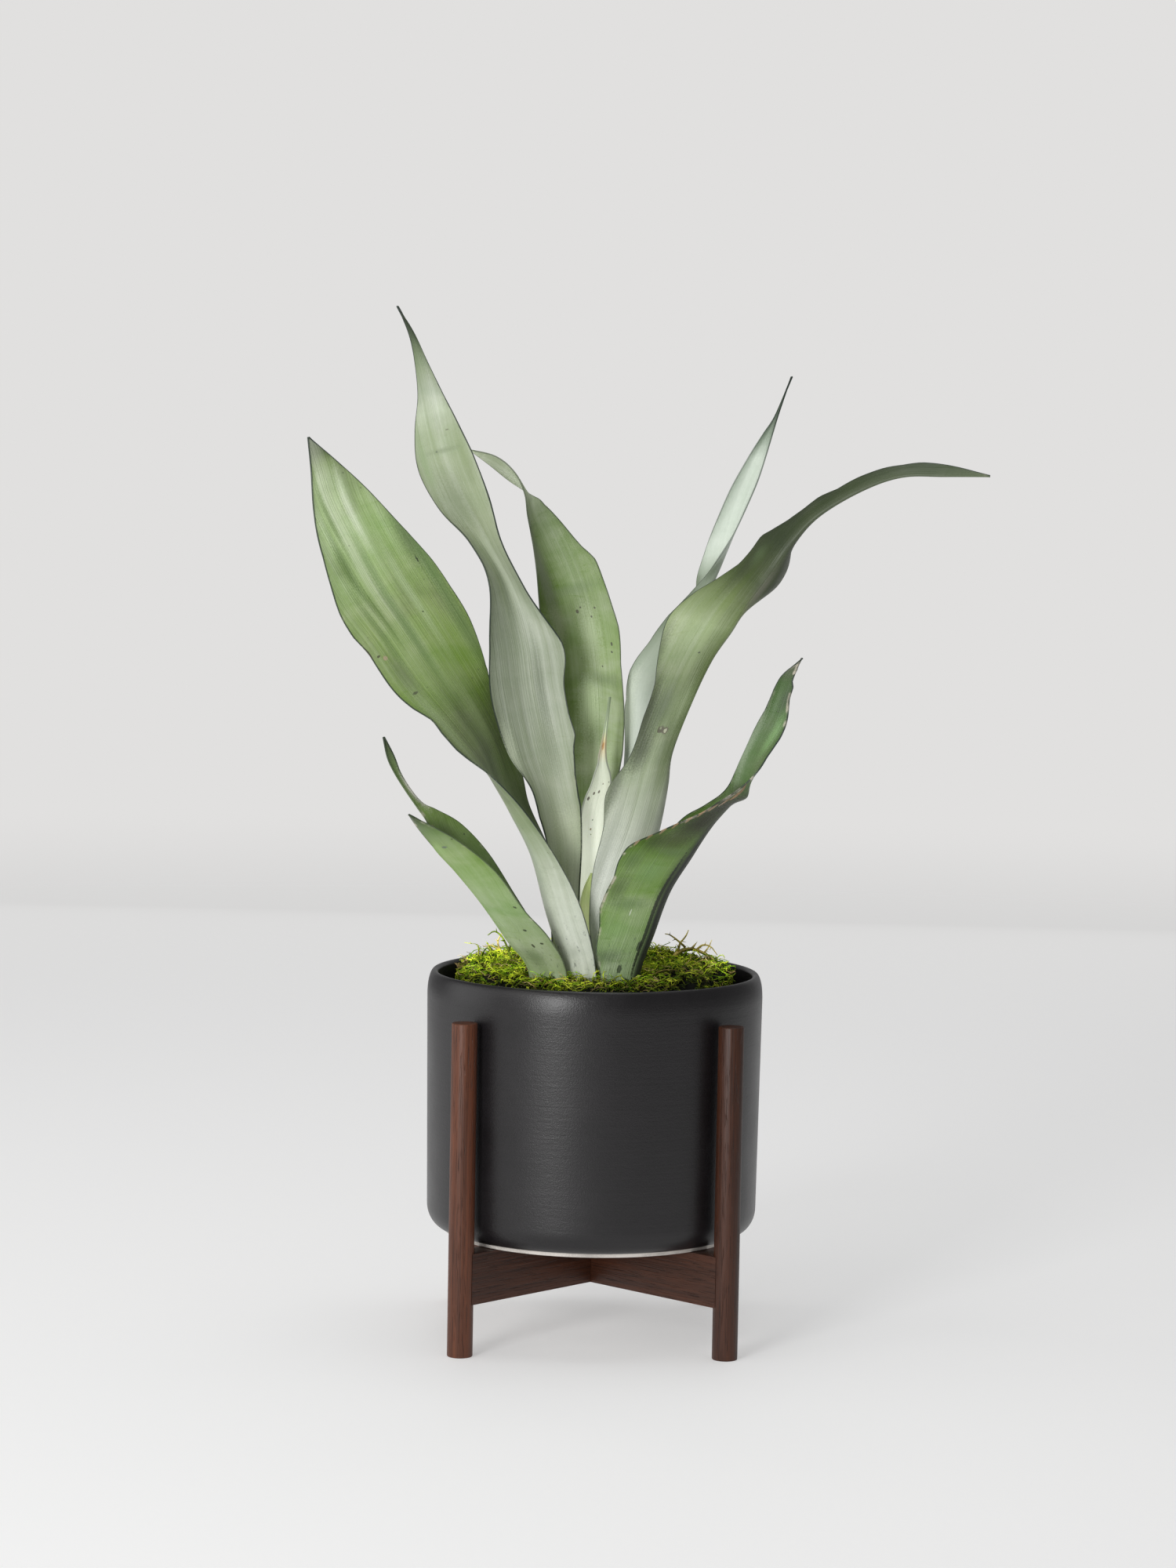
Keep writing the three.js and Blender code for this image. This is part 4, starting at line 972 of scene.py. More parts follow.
def rail_at(points, along):
    """Places on the smooth rail through the points, for an array of shares from 0 to 1."""
    last = len(points) - 1
    place = np.clip(along, 0, 1) * last
    span = np.minimum(place.astype(int), last - 1)
    weight = (place - span)[:, None]
    padded = np.vstack([2 * points[0] - points[1], points, 2 * points[-1] - points[-2]])
    before, start, end, after = (padded[span + step] for step in range(4))
    leave, arrive = (end - before) / 2, (after - start) / 2
    square = -3 * start + 3 * end - 2 * leave - arrive
    cube = 2 * start - 2 * end + leave + arrive
    return start + leave * weight + square * weight**2 + cube * weight**3


def with_foot(stations):
    """The stations with a level foot in front of them, straight below the first one."""
    first = np.array(stations[0], float)
    foot = (first - first.mean(0)) * LEAF_BURIED_SCALE + first.mean(0)
    foot[:, 2] = LEAF_FOOT_HEIGHT
    return np.concatenate([foot[None], np.array(stations, float)])


def middle_surface(rows, across, along):
    """Points halfway through the blade, for arrays of places across (-1 to 1) and along."""
    left, keel, right = (rail_at(rows[:, index], along)[:, None] for index in range(3))
    u = across[None, :, None]
    return left * u * (u - 1) / 2 + keel * (1 - u * u) + right * u * (u + 1) / 2


def unit(vectors):
    return vectors / np.maximum(np.linalg.norm(vectors, axis=-1, keepdims=True), 1e-12)


def half_thickness(across, along):
    keel = 1.5 * (1 - 0.55 * along) + 0.5 * np.maximum(0, 1 - 4 * along)
    return 0.5 + np.maximum(0, keel - 0.5) * (1 - across * across)


FLUTTER = 0.7


def wave_margins(middle, across, along, waves, lobes, number):
    """Moves the margins in and out by their small waves and lobes, and lets them flutter."""
    keel = middle[:, len(across) // 2][:, None]
    shaped = middle.copy()
    share = {1: 1 - across**2}
    for rail, side in ((0, -1), (2, 1)):
        weight = np.where(across * side > 0, np.abs(across), 0)[None, :, None]
        share[rail] = np.sin(weight[0, :, 0] * np.pi / 2)
        margin = middle[:, 0 if side < 0 else -1][:, None]
        outward = unit(margin - keel)
        if rail in waves:
            places, amounts = zip(*waves[rail])
            amount = np.interp(along, places, amounts, 0, 0)[:, None, None]
            shaped += outward * amount * weight**3
        width = np.linalg.norm(margin - keel, axis=-1)[..., None]
        beat = np.sin(along * 31 + number * 1.7 + rail) + 0.6 * np.sin(along * 53 + number * 2.3 - rail)
        ends = np.clip(along / 0.25, 0, 1) * np.clip((1 - along) / 0.15, 0, 1)
        lift = (beat * ends)[:, None, None] * np.clip(width / 30, 0, 1) * FLUTTER
        facing = unit(np.cross(outward, np.gradient(keel[:, 0], axis=0)[:, None]))
        shaped += facing * lift * weight**2
    for rail, place, reach, move in lobes:
        bump = np.exp(-(((along - place) / reach) ** 2))[:, None, None]
        shaped += np.array(move) * bump * share[rail][None, :, None]
    return shaped


def add_blade(bm, stations, across_steps, along_steps, number=0, waves=None, lobes=(), closed_side=None):
    """Adds one blade with its charts. closed_side -1 or 1 names a side that isn't a margin
    before the tear."""
    rows = with_foot(stations)
    across = np.linspace(-1, 1, across_steps + 1)
    along = np.linspace(0, 1, along_steps + 1)
    nudge = 1e-3
    middle = middle_surface(rows, across, along)
    ahead = middle_surface(rows, across, np.minimum(along + nudge, 1))
    behind = middle_surface(rows, across, np.maximum(along - nudge, 0))
    sideways = middle_surface(rows, across + nudge, along) - middle_surface(rows, across - nudge, along)
    normal = unit(np.cross(sideways, ahead - behind))
    half = half_thickness(across[None, :], along[:, None])[..., None]
    if waves is not None:
        middle = wave_margins(middle, across, along, waves, lobes, number)

    step_across = np.linalg.norm(np.diff(middle, axis=1), axis=-1)
    span = np.concatenate([np.zeros((along_steps + 1, 1)), step_across.cumsum(1)], 1)
    from_keel = span - span[:, across_steps // 2][:, None]
    to_left, to_right = span, span[:, -1][:, None] - span
    keel = middle[:, across_steps // 2]
    travelled = np.concatenate([[0], np.linalg.norm(np.diff(keel, axis=0), axis=-1).cumsum()])
    if closed_side is not None:
        tear = 5 / (len(rows) - 1)
        joined = 60 * np.clip((tear - along) / 0.02, 0, 1)[:, None]
        if closed_side < 0:
            to_left = to_left + joined
            from_keel = span
        else:
            to_right = to_right + joined
            from_keel = span - span[:, -1][:, None]
    to_margin = np.minimum(to_left, to_right)

    made = bmesh.ops.create_grid(bm, x_segments=across_steps, y_segments=along_steps, size=1)
    upper = made["verts"]
    faces = list({face for vert in upper for face in vert.link_faces})
    grown = bmesh.ops.extrude_face_region(bm, geom=faces, use_keep_orig=True)
    lower = [item for item in grown["geom"] if isinstance(item, bmesh.types.BMVert)]
    blade_chart = bm.loops.layers.uv.get("blade") or bm.loops.layers.uv.new("blade")
    edge_chart = bm.loops.layers.uv.get("edge") or bm.loops.layers.uv.new("edge")
    for verts, side in ((upper, 1), (lower, -1)):
        for vert in verts:
            i = round((vert.co.x + 1) / 2 * across_steps)
            j = round((vert.co.y + 1) / 2 * along_steps)
            point = (middle[j, i] + side * half[j, i] * normal[j, i]) * MM
            vert.co = (point[0] + AXIS_X, point[1], point[2])
            for loop in vert.link_loops:
                loop[blade_chart].uv = (from_keel[j, i] * MM, travelled[j] * MM)
                loop[edge_chart].uv = (to_margin[j, i] * MM, travelled[j] / travelled[-1])


def half_blade_stations(pairs, bulge):
    stations = []
    for start, end in pairs:
        middle = [(first + second) / 2 for first, second in zip(start, end)]
        middle[1] += bulge
        stations.append([start, middle, end])
    return stations


def build_leaf(name, number, group, spot, look):
    bm = bmesh.new()
    if name == "leaf_8":
        near = half_blade_stations([*zip(TORN_NEAR_MARGIN, TORN_KEEL), *TORN_LOBE], -TORN_BULGE)
        far = half_blade_stations([*zip(TORN_KEEL, TORN_FAR_MARGIN), *TORN_STRIP], TORN_BULGE)
        add_blade(bm, near, look.faces_across // 2, look.faces_along // 2, closed_side=1)
        add_blade(bm, far, look.faces_across // 2, look.faces_along, closed_side=-1)
    else:
        waves, lobes = MARGIN_WAVES.get(name, {}), MARGIN_LOBES.get(name, ())
        add_blade(bm, LEAVES[name], look.faces_across, look.faces_along, number, waves, lobes)
    bmesh.ops.recalc_face_normals(bm, faces=bm.faces)
    material = blade_material(name, group, spot, number)
    piece_from(bm, name + "_blade", [material], [name], 50)


MOSS_RADIUS = 101
MOSS_BOTTOM = 258.9
MOSS_TOP = 281.3
MOSS_EDGE_ROUND = 9
MOSS_FRONT_DROP = 8
MOSS_FRONT_START = 20
MOSS_LUMP_HEIGHT = 3
MOSS_EDGE_WAVE = 0.03
MOSS_CLUMP_HEIGHT = 1.6
MOSS_SINK = 1.8
STRAND_REACH = 107
STRAND_CLIMB = 2.2
STRAND_FOOT_GAP = 2.2


def lumps(x, y):
    """Lumps of the moss: a sum of a few waves that runs from about -1 to 1."""
    broad = np.sin(0.055 * x + 1.3) * np.cos(0.061 * y - 0.4)
    middling = np.sin(0.13 * x - 0.09 * y + 2.1) * np.cos(0.12 * y + 0.07 * x)
    fine = np.sin(0.31 * x + 0.17 * y) * np.cos(0.29 * y - 0.21 * x + 0.8)
    return 0.5 * broad + 0.3 * middling + 0.25 * fine


def clumps(x, y):
    """Small tufts of the moss: waves of about 9 mm that run from about -1 to 1."""
    warp = 2.5 * np.sin(0.11 * y + 0.7)
    return 0.6 * np.sin(0.62 * (x + warp)) * np.cos(0.55 * y + 1.1) + 0.4 * np.sin(0.83 * y - 0.41 * x)


def settle_moss(points):
    """Moves points of the plain cushion, in millimetres from the axis, to its lumpy form."""
    x, y, z = points.T
    height = (z - MOSS_BOTTOM) / (MOSS_TOP - MOSS_BOTTOM)
    share = np.clip((-y - MOSS_FRONT_START) / (MOSS_RADIUS - MOSS_FRONT_START), 0, 1)
    front = share * share * (3 - 2 * share)
    swell = 1 + MOSS_EDGE_WAVE * height * lumps(2 * x, 2 * y)
    lift = height * (MOSS_LUMP_HEIGHT * lumps(x, y) - MOSS_FRONT_DROP * front)
    tufts = np.clip(height, 0, 1) * MOSS_CLUMP_HEIGHT * clumps(x, y)
    return np.stack([x * swell, y * swell, z + lift + tufts], 1)


def build_cushion(material):
    edge = MOSS_EDGE_ROUND
    profile = [(0, MOSS_BOTTOM), (MOSS_RADIUS - 2, MOSS_BOTTOM), (MOSS_RADIUS, MOSS_BOTTOM + 8)]
    profile += [(MOSS_RADIUS, MOSS_BOTTOM + 15)]
    profile += arc(MOSS_RADIUS - edge, MOSS_TOP - edge, edge, edge, 0, 90, 6)
    profile += [(radius, MOSS_TOP) for radius in range(90, 0, -2)] + [(0, MOSS_TOP)]
    bm = turned([(radius * MM, height * MM) for radius, height in profile], 200)
    plain = np.array([vert.co for vert in bm.verts]) / MM - (AXIS_X / MM, 0, 0)
    settled = settle_moss(plain)
    settled[:, 2] -= MOSS_SINK * np.clip((plain[:, 2] - MOSS_BOTTOM) / 10, 0, 1)
    for vert, point in zip(bm.verts, settled):
        vert.co = (point[0] * MM + AXIS_X, point[1] * MM, point[2] * MM)
    chart = bm.loops.layers.uv.new("strand")
    for face in bm.faces:
        for loop in face.loops:
            loop[chart].uv = (0.2, 0.3)
    piece_from(bm, "moss_cushion", [material], ["moss"], 60)


def strand_template(leaflets, rings):
    """One straight strand along Z, a unit long: a tapering stem and short leaflets in a spiral up it."""
    bm = bmesh.new()
    bmesh.ops.create_cone(
        bm, cap_ends=True, cap_tris=True, segments=3, radius1=1, radius2=0.35, depth=1,
        matrix=Matrix.Translation((0, 0, 0.5)),
    )
    for ring in range(1, rings):
        bmesh.ops.bisect_plane(
            bm, geom=bm.verts[:] + bm.edges[:] + bm.faces[:],
            plane_co=(0, 0, ring / rings), plane_no=(0, 0, 1),
        )
    for index in range(leaflets):
        place = 0.15 + 0.8 * index / leaflets
        turn = Matrix.Rotation(2.4 * index, 4, "Z") @ Matrix.Rotation(math.radians(62), 4, "Y")
        size = 4.6 * (1 - 0.5 * place)
        made = bmesh.ops.create_cone(
            bm, cap_ends=True, cap_tris=True, segments=3, radius1=0.7, radius2=0, depth=size,
            matrix=Matrix.Translation((0, 0, size / 2)),
        )
        # A leaflet is kept apart from the stem's length, so it is stored at its own place.
        for vert in made["verts"]:
            vert.co = turn @ vert.co
            vert.co.z = place + vert.co.z * 0.035
    bmesh.ops.triangulate(bm, faces=bm.faces)
    verts = np.array([vert.co for vert in bm.verts])
    bm.verts.index_update()
    faces = np.array([[vert.index for vert in face.verts] for face in bm.faces])
    bm.free()
    return verts, faces


def strand_paths(draw, roots, headings, pitches, lengths, curl, steps=12):
    """Centre lines of strands that leave their roots and curl over."""
    count = len(roots)
    way = np.linspace(0, 1, steps)
    twirl = np.sign(draw.normal(size=count)) * draw.uniform(0.4, 1.6, count) * curl
    yaw = headings[:, None] + np.cumsum(draw.normal(0, 0.25, (count, steps)), 1)
    yaw += twirl[:, None] * steps * way**1.4 * 0.5
    droop = draw.uniform(0.1, 1.5, count)[:, None] * way**1.5
    wave = np.sin(way * draw.uniform(3, 9, count)[:, None] + draw.uniform(0, 6.3, count)[:, None])
    pitch = pitches[:, None] - droop + wave * 0.7 * curl
    step = (lengths / steps)[:, None]
    moves = np.stack(
        [np.cos(pitch) * np.cos(yaw) * step, np.cos(pitch) * np.sin(yaw) * step, np.sin(pitch) * step],
        2,
    )
    path = np.concatenate([np.zeros((count, 1, 3)), moves.cumsum(1)], 1) + roots[:, None]
    return path, np.concatenate([yaw[:, :1], yaw], 1)


def strands_mesh(name, template, draw, paths, yaws, widths):
    """Bends a copy of the template along every path and joins the copies in one mesh."""
    verts, faces = template
    count, steps = len(paths), paths.shape[1] - 1
    place = np.clip(verts[:, 2], 0, 1) * steps
    low = np.minimum(place.astype(int), steps - 1)
    share = (place - low)[None, :, None]
    centre = paths[:, low] * (1 - share) + paths[:, low + 1] * share
    ahead = unit(paths[:, low + 1] - paths[:, low])
    yaw = yaws[:, low]
    side = np.stack([-np.sin(yaw), np.cos(yaw), np.zeros_like(yaw)], 2)
    above = np.cross(ahead, side)
    spin = draw.uniform(0, 2 * np.pi, count)[:, None]
    across = (verts[:, 0] * np.cos(spin) - verts[:, 1] * np.sin(spin)) * widths[:, None]
    upward = (verts[:, 0] * np.sin(spin) + verts[:, 1] * np.cos(spin)) * widths[:, None]
    points = centre + side * across[..., None] + above * upward[..., None]
    points = points * MM + (AXIS_X, 0, 0)
    mesh = bpy.data.meshes.new(name)
    mesh.vertices.add(count * len(verts))
    mesh.vertices.foreach_set("co", points.reshape(-1))
    corners = (faces[None] + (np.arange(count) * len(verts))[:, None, None]).reshape(-1)
    mesh.loops.add(len(corners))
    mesh.loops.foreach_set("vertex_index", corners.astype(np.int32))
    mesh.polygons.add(count * len(faces))
    mesh.polygons.foreach_set("loop_start", np.arange(0, len(corners), 3, dtype=np.int32))
    chart = mesh.uv_layers.new(name="strand")
    chance = np.repeat(draw.uniform(0, 1, count), len(verts))
    along = np.tile(np.clip(verts[:, 2], 0, 1), count)
    chart.data.foreach_set("uv", np.stack([along[corners], chance[corners]], 1).reshape(-1))
    mesh.update(calc_edges=True)
    mesh.validate()
    return mesh


def leaf_feet():
    """Middle lines of the blades at the height of the moss, in millimetres from the axis."""
    feet = [np.array(stations[0], float)[:, :2] for stations in LEAVES.values()]
    feet.append(np.array([TORN_NEAR_MARGIN[0], TORN_KEEL[0], TORN_FAR_MARGIN[0]], float)[:, :2])
    return feet


def away_from_feet(points, feet, gap):
    """True for each point that lies farther than gap from every blade's foot."""
    clear = np.full(len(points), True)
    for foot in feet:
        for start, end in ((foot[0], foot[1]), (foot[1], foot[2])):
            line = end - start
            share = np.clip((points - start) @ line / (line @ line), 0, 1)[:, None]
            clear &= np.linalg.norm(points - start - share * line, axis=1) > gap
    return clear


def moss_roots(draw, count):
    """Roots on the top and the side of the cushion, and the way out from its middle at each."""
    bearing = draw.uniform(0, 2 * np.pi, count)
    on_side = draw.uniform(size=count) < 0.3
    radius = np.where(on_side, MOSS_RADIUS - 1, (MOSS_RADIUS - 3) * np.sqrt(draw.uniform(size=count)))
    over = np.clip(radius - (MOSS_RADIUS - MOSS_EDGE_ROUND), 0, MOSS_EDGE_ROUND)
    shoulder = MOSS_TOP - MOSS_EDGE_ROUND + np.sqrt(MOSS_EDGE_ROUND**2 - over**2)
    height = np.where(on_side, draw.uniform(MOSS_BOTTOM + 4, MOSS_TOP - 4, count), shoulder)
    plain = np.stack([radius * np.cos(bearing), radius * np.sin(bearing), height], 1)
    return settle_moss(plain) - (0, 0, 1), bearing, on_side


def build_strands(name, material, draw, count, length, share_right, width, curl, leaflets, lift):
    """One piece of moss strands. share_right is how likely a root on the dry right side is
    kept, against one on the left."""
    roots, bearing, on_side = moss_roots(draw, count * 3)
    right = np.clip((roots[:, 0] - 10) / 70, 0, 1)
    keep = draw.uniform(size=len(roots)) < 1 + (share_right - 1) * right
    keep &= away_from_feet(roots[:, :2], leaf_feet(), STRAND_FOOT_GAP)
    roots, bearing, on_side = roots[keep], bearing[keep], on_side[keep]
    number = len(roots)
    heading = np.where(
        on_side, bearing + draw.normal(0, 0.9, number), draw.uniform(0, 2 * np.pi, number)
    )
    tuft = np.clip(lumps(2.3 * roots[:, 0] + 9, 2.3 * roots[:, 1]) - 0.2, 0, 0.5) * 2
    sideways = draw.uniform(-0.9, 0.9, number)
    pitch = np.where(on_side, sideways, draw.uniform(*lift, number) + 0.6 * tuft)
    lengths = length * draw.uniform(0.55, 1.35, number) * np.where(on_side, 0.6, 1)
    path, yaw = strand_paths(draw, roots, heading, pitch, lengths, curl)
    reach = np.linalg.norm(path[..., :2], axis=2).max(1)
    climb = path[..., 2].max(1) - roots[:, 2]
    room = draw.exponential(STRAND_CLIMB, number) + 3.0 + 6 * tuft
    inside = np.flatnonzero((reach < STRAND_REACH) & (climb < room))[:count]
    path, yaw = path[inside], yaw[inside]
    widths = width * draw.uniform(0.7, 1.3, len(path))
    mesh = strands_mesh(name, strand_template(leaflets, 6), draw, path, yaw, widths)
    hand_over(mesh, name, [material])


# Coarse stems that lie on the moss, in millimetres from the planter's axis and the floor, each
# with its thickness.
COARSE_STEMS = [
    (2.6, [[58, 30, 278], [64, 33, 286], [74, 35, 289], [84, 32, 286], [93, 26, 280], [97, 20, 272]]),
    (1.4, [[64, 33, 287], [66, 36, 293], [70, 38, 298], [72, 38, 303]]),
    (1.3, [[70, 35, 290], [64, 36, 295], [58, 38, 299], [54, 37, 300]]),
    (1.3, [[78, 34, 288], [83, 33, 292], [89, 32, 291], [94, 30, 285]]),
    (1.0, [[84, 32, 286], [88, 34, 291], [90, 35, 296]]),
    (1.6, [[-66, 20, 279], [-72, 22, 287], [-74, 24, 294], [-71, 25, 300]]),
    (1.1, [[-72, 22, 287], [-79, 22, 291], [-84, 21, 290]]),
    (1.2, [[40, -52, 279], [50, -50, 283], [60, -44, 282], [67, -38, 278]]),
    (1.0, [[-40, -78, 274], [-30, -80, 279], [-20, -78, 278], [-14, -72, 275]]),
    (1.1, [[70, -20, 281], [80, -12, 286], [88, -4, 283], [94, 2, 277]]),
]

# Green fronds that stand up at the left, written in the same way.
GREEN_FRONDS = [
    (1.5, [[-62, -4, 279], [-66, -5, 291], [-71, -6, 301], [-77, -6, 305], [-82, -6, 302]]),
    (1.2, [[-66, -5, 290], [-64, -8, 297], [-60, -9, 302]]),
    (1.3, [[-84, 4, 276], [-86, 3, 284], [-84, 2, 290], [-80, 2, 292]]),
    (1.1, [[-52, -6, 279], [-50, -7, 286], [-46, -8, 291], [-42, -8, 290]]),
    (1.2, [[-92, -14, 272], [-95, -16, 278], [-93, -18, 284], [-89, -18, 285]]),
]


# Tones of the moss at the root, the tip and where it is dry, and how dry it is; the dark roots
# and bed are partly painted shade deep in the moss, and the bright tips partly painted light.
# Then, for the strands: percent of the usual count, length against the usual one, how likely a
# root on the dry right side is kept, width in millimetres, curl, leaflets, and the range of pitches.
MOSS_BED_LOOK = (0x0E1206, 0x202A08, 0x1E180C, 0.6)
MOSS_STRANDS = {
    "moss_bright": ((0x6E8A10, 0xE2F434, 0xF0DC80, 0.2), 70, 1.5, 0.45, 0.6, 0.6, 5, (0.1, 1.2)),
    "moss_green": ((0x34560A, 0xA2D420, 0xBEB44A, 0.3), 80, 1.2, 0.75, 0.5, 0.5, 5, (-0.1, 0.9)),
    "moss_olive": ((0x161E06, 0x5E761A, 0x7A6630, 0.5), 60, 1.0, 1.3, 0.46, 0.5, 5, (-0.3, 0.4)),
    "moss_dry": ((0x6A562A, 0xF2DE98, 0x8A6438, 0.4), 25, 1.6, 4.0, 0.36, 0.5, 2, (0.0, 1.1)),
}
MOSS_STEMS = {
    "moss_stems": ((0xA09440, 0xDCCC7C, 0x7A5A30, 0.3), COARSE_STEMS),
    "moss_fronds": ((0x2A420A, 0x6A8C1C, 0x8A8A3A, 0.3), GREEN_FRONDS),
}


def build_stems(name, stems, material, draw):
    share = np.linspace(0, 1, 13)
    paths = np.array([rail_at(np.array(points, float), share) for _, points in stems])
    moves = np.diff(paths, axis=1)
    yaws = np.arctan2(moves[..., 1], moves[..., 0])
    yaws = np.concatenate([yaws[:, :1], yaws], 1)
    widths = np.array([thickness * 0.85 for thickness, _ in stems])
    mesh = strands_mesh(name, strand_template(3, 12), draw, paths, yaws, widths)
    hand_over(mesh, name, [material])


LEG_SHADES = {"leg_front_left": 0.78, "leg_front_right": 0.4, "leg_back_left": 0.85, "leg_back_right": 0.75}
BAR_TURNS = {"crossbar_lower": 45, "crossbar_upper": -45}
BAR_SHADE = 0.38


def colour_setting(name, description, tone):
    return FloatVectorProperty(
        name=name, description=description, default=linear(tone), min=0, max=1, subtype="COLOR"
    )


def power_setting(name, description, power):
    return FloatProperty(name=name, description=description, default=power, min=0, unit="POWER")


class StandLook(bpy.types.PropertyGroup):
    edge_round: FloatProperty(
        name="Edge Round", description="Radius of the eased edges of dowels and boards",
        default=0.0008, min=0.0002, max=0.003, unit="LENGTH",
    )
    wood_light: colour_setting("Light Grain", "Lighter tone of the oiled walnut", 0x78442B)
    wood_dark: colour_setting("Dark Grain", "Darker tone of the oiled walnut", 0x462617)


class PlanterLook(bpy.types.PropertyGroup):
    glaze_colour: colour_setting("Glaze", "Colour of the satin glaze", 0x121012)
    glaze_roughness: FloatProperty(
        name="Glaze Roughness", description="How matte the glaze is",
        default=0.36, min=0, max=1, subtype="FACTOR",
    )
    clay_colour: colour_setting("Clay", "Colour of the bare foot ring", 0xDCD6CF)


class LeafLook(bpy.types.PropertyGroup):
    faces_across: IntProperty(
        name="Faces Across", description="Faces across a blade", default=24, min=8, max=64
    )
    faces_along: IntProperty(
        name="Faces Along", description="Faces along a blade", default=150, min=40, max=400
    )


class MossLook(bpy.types.PropertyGroup):
    strand_length: FloatProperty(
        name="Strand Length", description="Usual length of a strand",
        default=0.014, min=0.005, max=0.05, unit="LENGTH",
    )
    strands: IntProperty(
        name="Strands", description="How many strands the shares of the pieces are taken of",
        default=2500, min=100, max=3200,
    )
    seed: IntProperty(name="Seed", description="Start of the random draws", default=7, min=0)


class StageLook(bpy.types.PropertyGroup):
    floor_colour: colour_setting("Floor", "Colour of the pale floor", 0xDCDCDC)
    floor_glow: FloatProperty(
        name="Floor Glow", description="Light that the studio floor gives off", default=0.32, min=0, max=1
    )
    key_power: power_setting("Key Light", "Power of the large soft light", 16)
    window_power: power_setting("Window Light", "Power of the tall light that the glaze mirrors", 62)
    side_power: power_setting("Side Light", "Power of the broad light at the left", 22)
    fill_power: power_setting("Fill Light", "Power of the weak light from the front", 3)
    top_power: power_setting("Top Light", "Power of the broad light overhead", 33)
    back_power: power_setting("Back Light", "Power of the weak light behind the plant", 4)
    sky: FloatProperty(
        name="Sky Light", description="Strength of the light from all round", default=0.19, min=0
    )


class PLANT_OT_stand(bpy.types.Operator):
    """Build the walnut dowels and crossed boards of the stand"""

    bl_idname = "plant.stand"
    bl_label = "Build Stand"

    def execute(self, context):
        look = context.scene.plant_stand
        grain = walnut_group()
        for node, shade in LEG_SHADES.items():
            build_leg(node, look, walnut_material("walnut " + node, grain, look, (0, 0, 0), shade))
        for node, degrees in BAR_TURNS.items():
            turn = (math.radians(90), math.radians(degrees - 90), 0)
            build_bar(node, look, walnut_material("walnut " + node, grain, look, turn, BAR_SHADE))
        return {"FINISHED"}


class PLANT_OT_planter(bpy.types.Operator):
    """Turn the black planter and finish the nursery pot and the soil in it"""

    bl_idname = "plant.planter"
    bl_label = "Build Planter"

    def execute(self, context):
        build_planter(context.scene.plant_planter)
        for node, material in (("grow_pot", plastic_material()), ("soil", soil_material())):
            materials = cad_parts[node].data.materials
            for index in range(len(materials)):
                materials[index] = material
        return {"FINISHED"}


class PLANT_OT_leaves(bpy.types.Operator):
    """Grow the nine blades with their skins"""

    bl_idname = "plant.leaves"
    bl_label = "Grow Leaves"

    def execute(self, context):
        group, spot = blade_skin_group(), spot_group()
        for number, name in enumerate(BLADE_TONES, 1):
            build_leaf(name, number, group, spot, context.scene.plant_leaves)
        return {"FINISHED"}


class PLANT_OT_moss(bpy.types.Operator):
    """Lay the moss cushion and its curling strands round the feet of the leaves"""

    bl_idname = "plant.moss"
    bl_label = "Lay Moss"

    def execute(self, context):
        look = context.scene.plant_moss
        group = moss_fibre_group()
        draw = np.random.default_rng(look.seed)
        build_cushion(moss_material("moss bed", group, MOSS_BED_LOOK))
        for name, (values, percent, length, *shape) in MOSS_STRANDS.items():
            material = moss_material(name.replace("_", " "), group, values)
            count = look.strands * percent // 100
            build_strands(name, material, draw, count, look.strand_length / MM * length, *shape)
        for name, (values, stems) in MOSS_STEMS.items():
            build_stems(name, stems, moss_material(name.replace("_", " "), group, values), draw)
        return {"FINISHED"}


class PLANT_OT_stage(bpy.types.Operator):
    """Set the pale floor, the soft studio light and the camera"""

    bl_idname = "plant.stage"
    bl_label = "Set Stage"

    def execute(self, context):
        look = context.scene.plant_stage
        lay_floor(look)
        hang_lights(look)
        stand_camera()
        return {"FINISHED"}


FLOOR_RADIUS = 6.0
FLOOR_FADE = (0.9, 4.5)


def lay_floor(look):
    """A round floor that fades into the background away from the plant."""
    bm = bmesh.new()
    bmesh.ops.create_circle(bm, cap_ends=True, segments=96, radius=FLOOR_RADIUS)
    floor = add_object("floor", mesh_from(bm, "floor"))
    glow = {"Emission Color": (1, 1, 1, 1), "Emission Strength": look.floor_glow}
    material, web, shader = new_material("pale floor", glow)
    grain = web.noise(web.place(), 130.0, 4.0, 0.6)
    colour = web.mix(grain, rgba(look.floor_colour, 0.97), rgba(look.floor_colour))
    dress(web, shader, colour, 0.7, grain, 0.0004, 0.3)
    x, y, _ = web.apart(web.place())
    distance = web.math("SQRT", web.fused(x, x, web.times(y, y)))
    clear = web.node("BsdfTransparent")
    web.blend_shaders(web.rise(distance, *FLOOR_FADE), shader, clear, web.tree.nodes["Material Output"])
    floor.data.materials.append(material)


# Area lights: where each hangs, the height on the axis that it points at, its width and height,
# and its tone. The power of each is a setting of the stage.
LIGHTS = {
    "key": ((-2.3, -1.9, 2.1), 0.35, 2.0, 2.0, 0xFFFDFA),
    "window": ((-1.66, -2.98, 1.0), 0.55, 0.9, 1.8, 0xFFFFFF),
    "side": ((-3.2, 0.3, 0.9), 0.35, 2.6, 2.2, 0xFFFFFF),
    "fill": ((-0.5, -2.6, 2.7), 0.35, 2.2, 1.2, 0xFFFFFF),
    "top": ((0.2, 0.3, 3.4), 0.35, 2.4, 2.4, 0xFFFFFF),
    "back": ((0.2, 2.6, 0.8), 0.3, 3.4, 1.5, 0xFFFFFF),
}
BACKGROUND_TONE = 0xE1E0DF


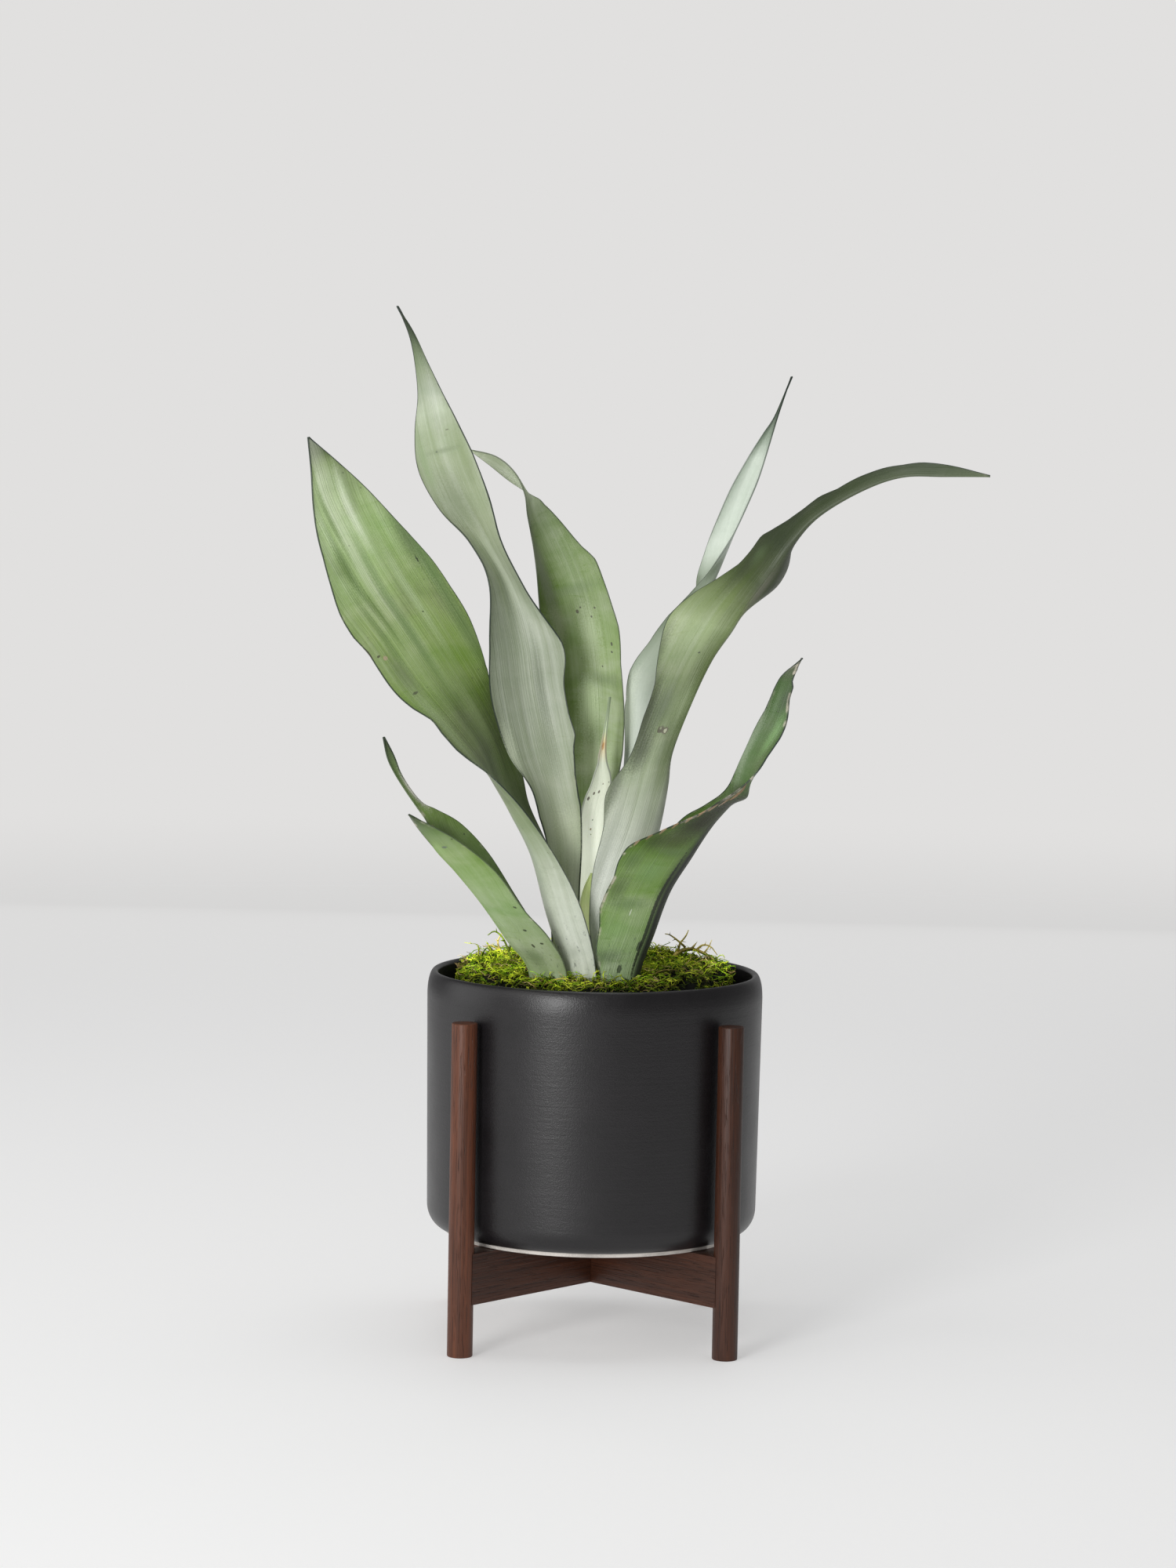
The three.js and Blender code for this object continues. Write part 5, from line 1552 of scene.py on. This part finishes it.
def hang_lights(look):
    for name, (location, aim, width, height, tone) in LIGHTS.items():
        light = bpy.data.lights.new(name, "AREA")
        light.shape = "RECTANGLE"
        light.size, light.size_y = width, height
        light.energy = getattr(look, name + "_power")
        light.color = linear(tone)
        lamp = add_object(name, light)
        lamp.location = location
        lamp.visible_camera = False
        way = Vector((0, 0, aim)) - Vector(location)
        lamp.rotation_euler = way.to_track_quat("-Z", "Y").to_euler()
    world = bpy.data.worlds.new("studio")
    bpy.context.scene.world = world
    world.use_nodes = True
    world.node_tree.nodes.clear()
    web = Web(world.node_tree)
    light = web.node("Background", {"Color": 0xFFFFFF, "Strength": look.sky})
    seen = web.node("Background", {"Color": BACKGROUND_TONE, "Strength": 1.0})
    by_camera = web.node("LightPath").outputs["Is Camera Ray"]
    web.blend_shaders(by_camera, light, seen, web.node("OutputWorld"))
    bpy.context.scene.view_settings.view_transform = "Standard"


CAMERA_DISTANCE = 3.0
CAMERA_HEIGHT = 0.66035
CAMERA_ANGLES = {"azimuth": 1.68, "pitch": 4.63, "roll": 1.04, "yaw": 0.154}
CAMERA_LENS = 91.5
CAMERA_SENSOR = 36


def stand_camera():
    """A camera at the photograph's place: a little to the left of the front, looking down
    slightly, and tilted so that the right side of the picture hangs lower."""
    azimuth, pitch, roll, yaw = (math.radians(angle) for angle in CAMERA_ANGLES.values())
    level = Vector((math.sin(azimuth), math.cos(azimuth), 0))
    forward = level * math.cos(pitch) - Vector((0, 0, math.sin(pitch)))
    right = Vector((math.cos(azimuth), -math.sin(azimuth), 0))
    up = right.cross(forward)
    tilted_right = right * math.cos(roll) + up * math.sin(roll)
    tilted_up = up * math.cos(roll) - right * math.sin(roll)
    aimed = forward * math.cos(yaw) - tilted_right * math.sin(yaw)
    side = tilted_right * math.cos(yaw) + forward * math.sin(yaw)
    turn = Matrix((side, tilted_up, -aimed)).transposed().to_4x4()
    place = Vector((AXIS_X, 0, CAMERA_HEIGHT)) - level * CAMERA_DISTANCE
    lens = bpy.data.cameras.new("camera")
    lens.lens = CAMERA_LENS
    lens.sensor_width = CAMERA_SENSOR
    camera = add_object("camera", lens)
    camera.matrix_world = Matrix.Translation(place) @ turn
    bpy.context.scene.camera = camera


class PLANT_PT_panel(bpy.types.Panel):
    bl_idname = "PLANT_PT_panel"
    bl_label = "Potted Snake Plant"
    bl_space_type = "VIEW_3D"
    bl_region_type = "UI"
    bl_category = "Plant"

    def draw(self, context):
        for operator, label, look in STEPS:
            box = self.layout.box()
            for name in look.__annotations__:
                box.prop(getattr(context.scene, label), name)
            box.operator(operator.bl_idname)


STEPS = (
    (PLANT_OT_stage, "plant_stage", StageLook),
    (PLANT_OT_stand, "plant_stand", StandLook),
    (PLANT_OT_planter, "plant_planter", PlanterLook),
    (PLANT_OT_leaves, "plant_leaves", LeafLook),
    (PLANT_OT_moss, "plant_moss", MossLook),
)


def register():
    for operator, label, look in STEPS:
        bpy.utils.register_class(look)
        setattr(bpy.types.Scene, label, PointerProperty(type=look))
        bpy.utils.register_class(operator)
    bpy.utils.register_class(PLANT_PT_panel)


def unregister():
    bpy.utils.unregister_class(PLANT_PT_panel)
    for operator, label, look in reversed(STEPS):
        bpy.utils.unregister_class(operator)
        delattr(bpy.types.Scene, label)
        bpy.utils.unregister_class(look)


def main():
    register()
    bpy.ops.plant.stage()
    bpy.ops.plant.stand()
    bpy.ops.plant.planter()
    bpy.ops.plant.leaves()
    bpy.ops.plant.moss()


if __name__ == "__main__":
    main()
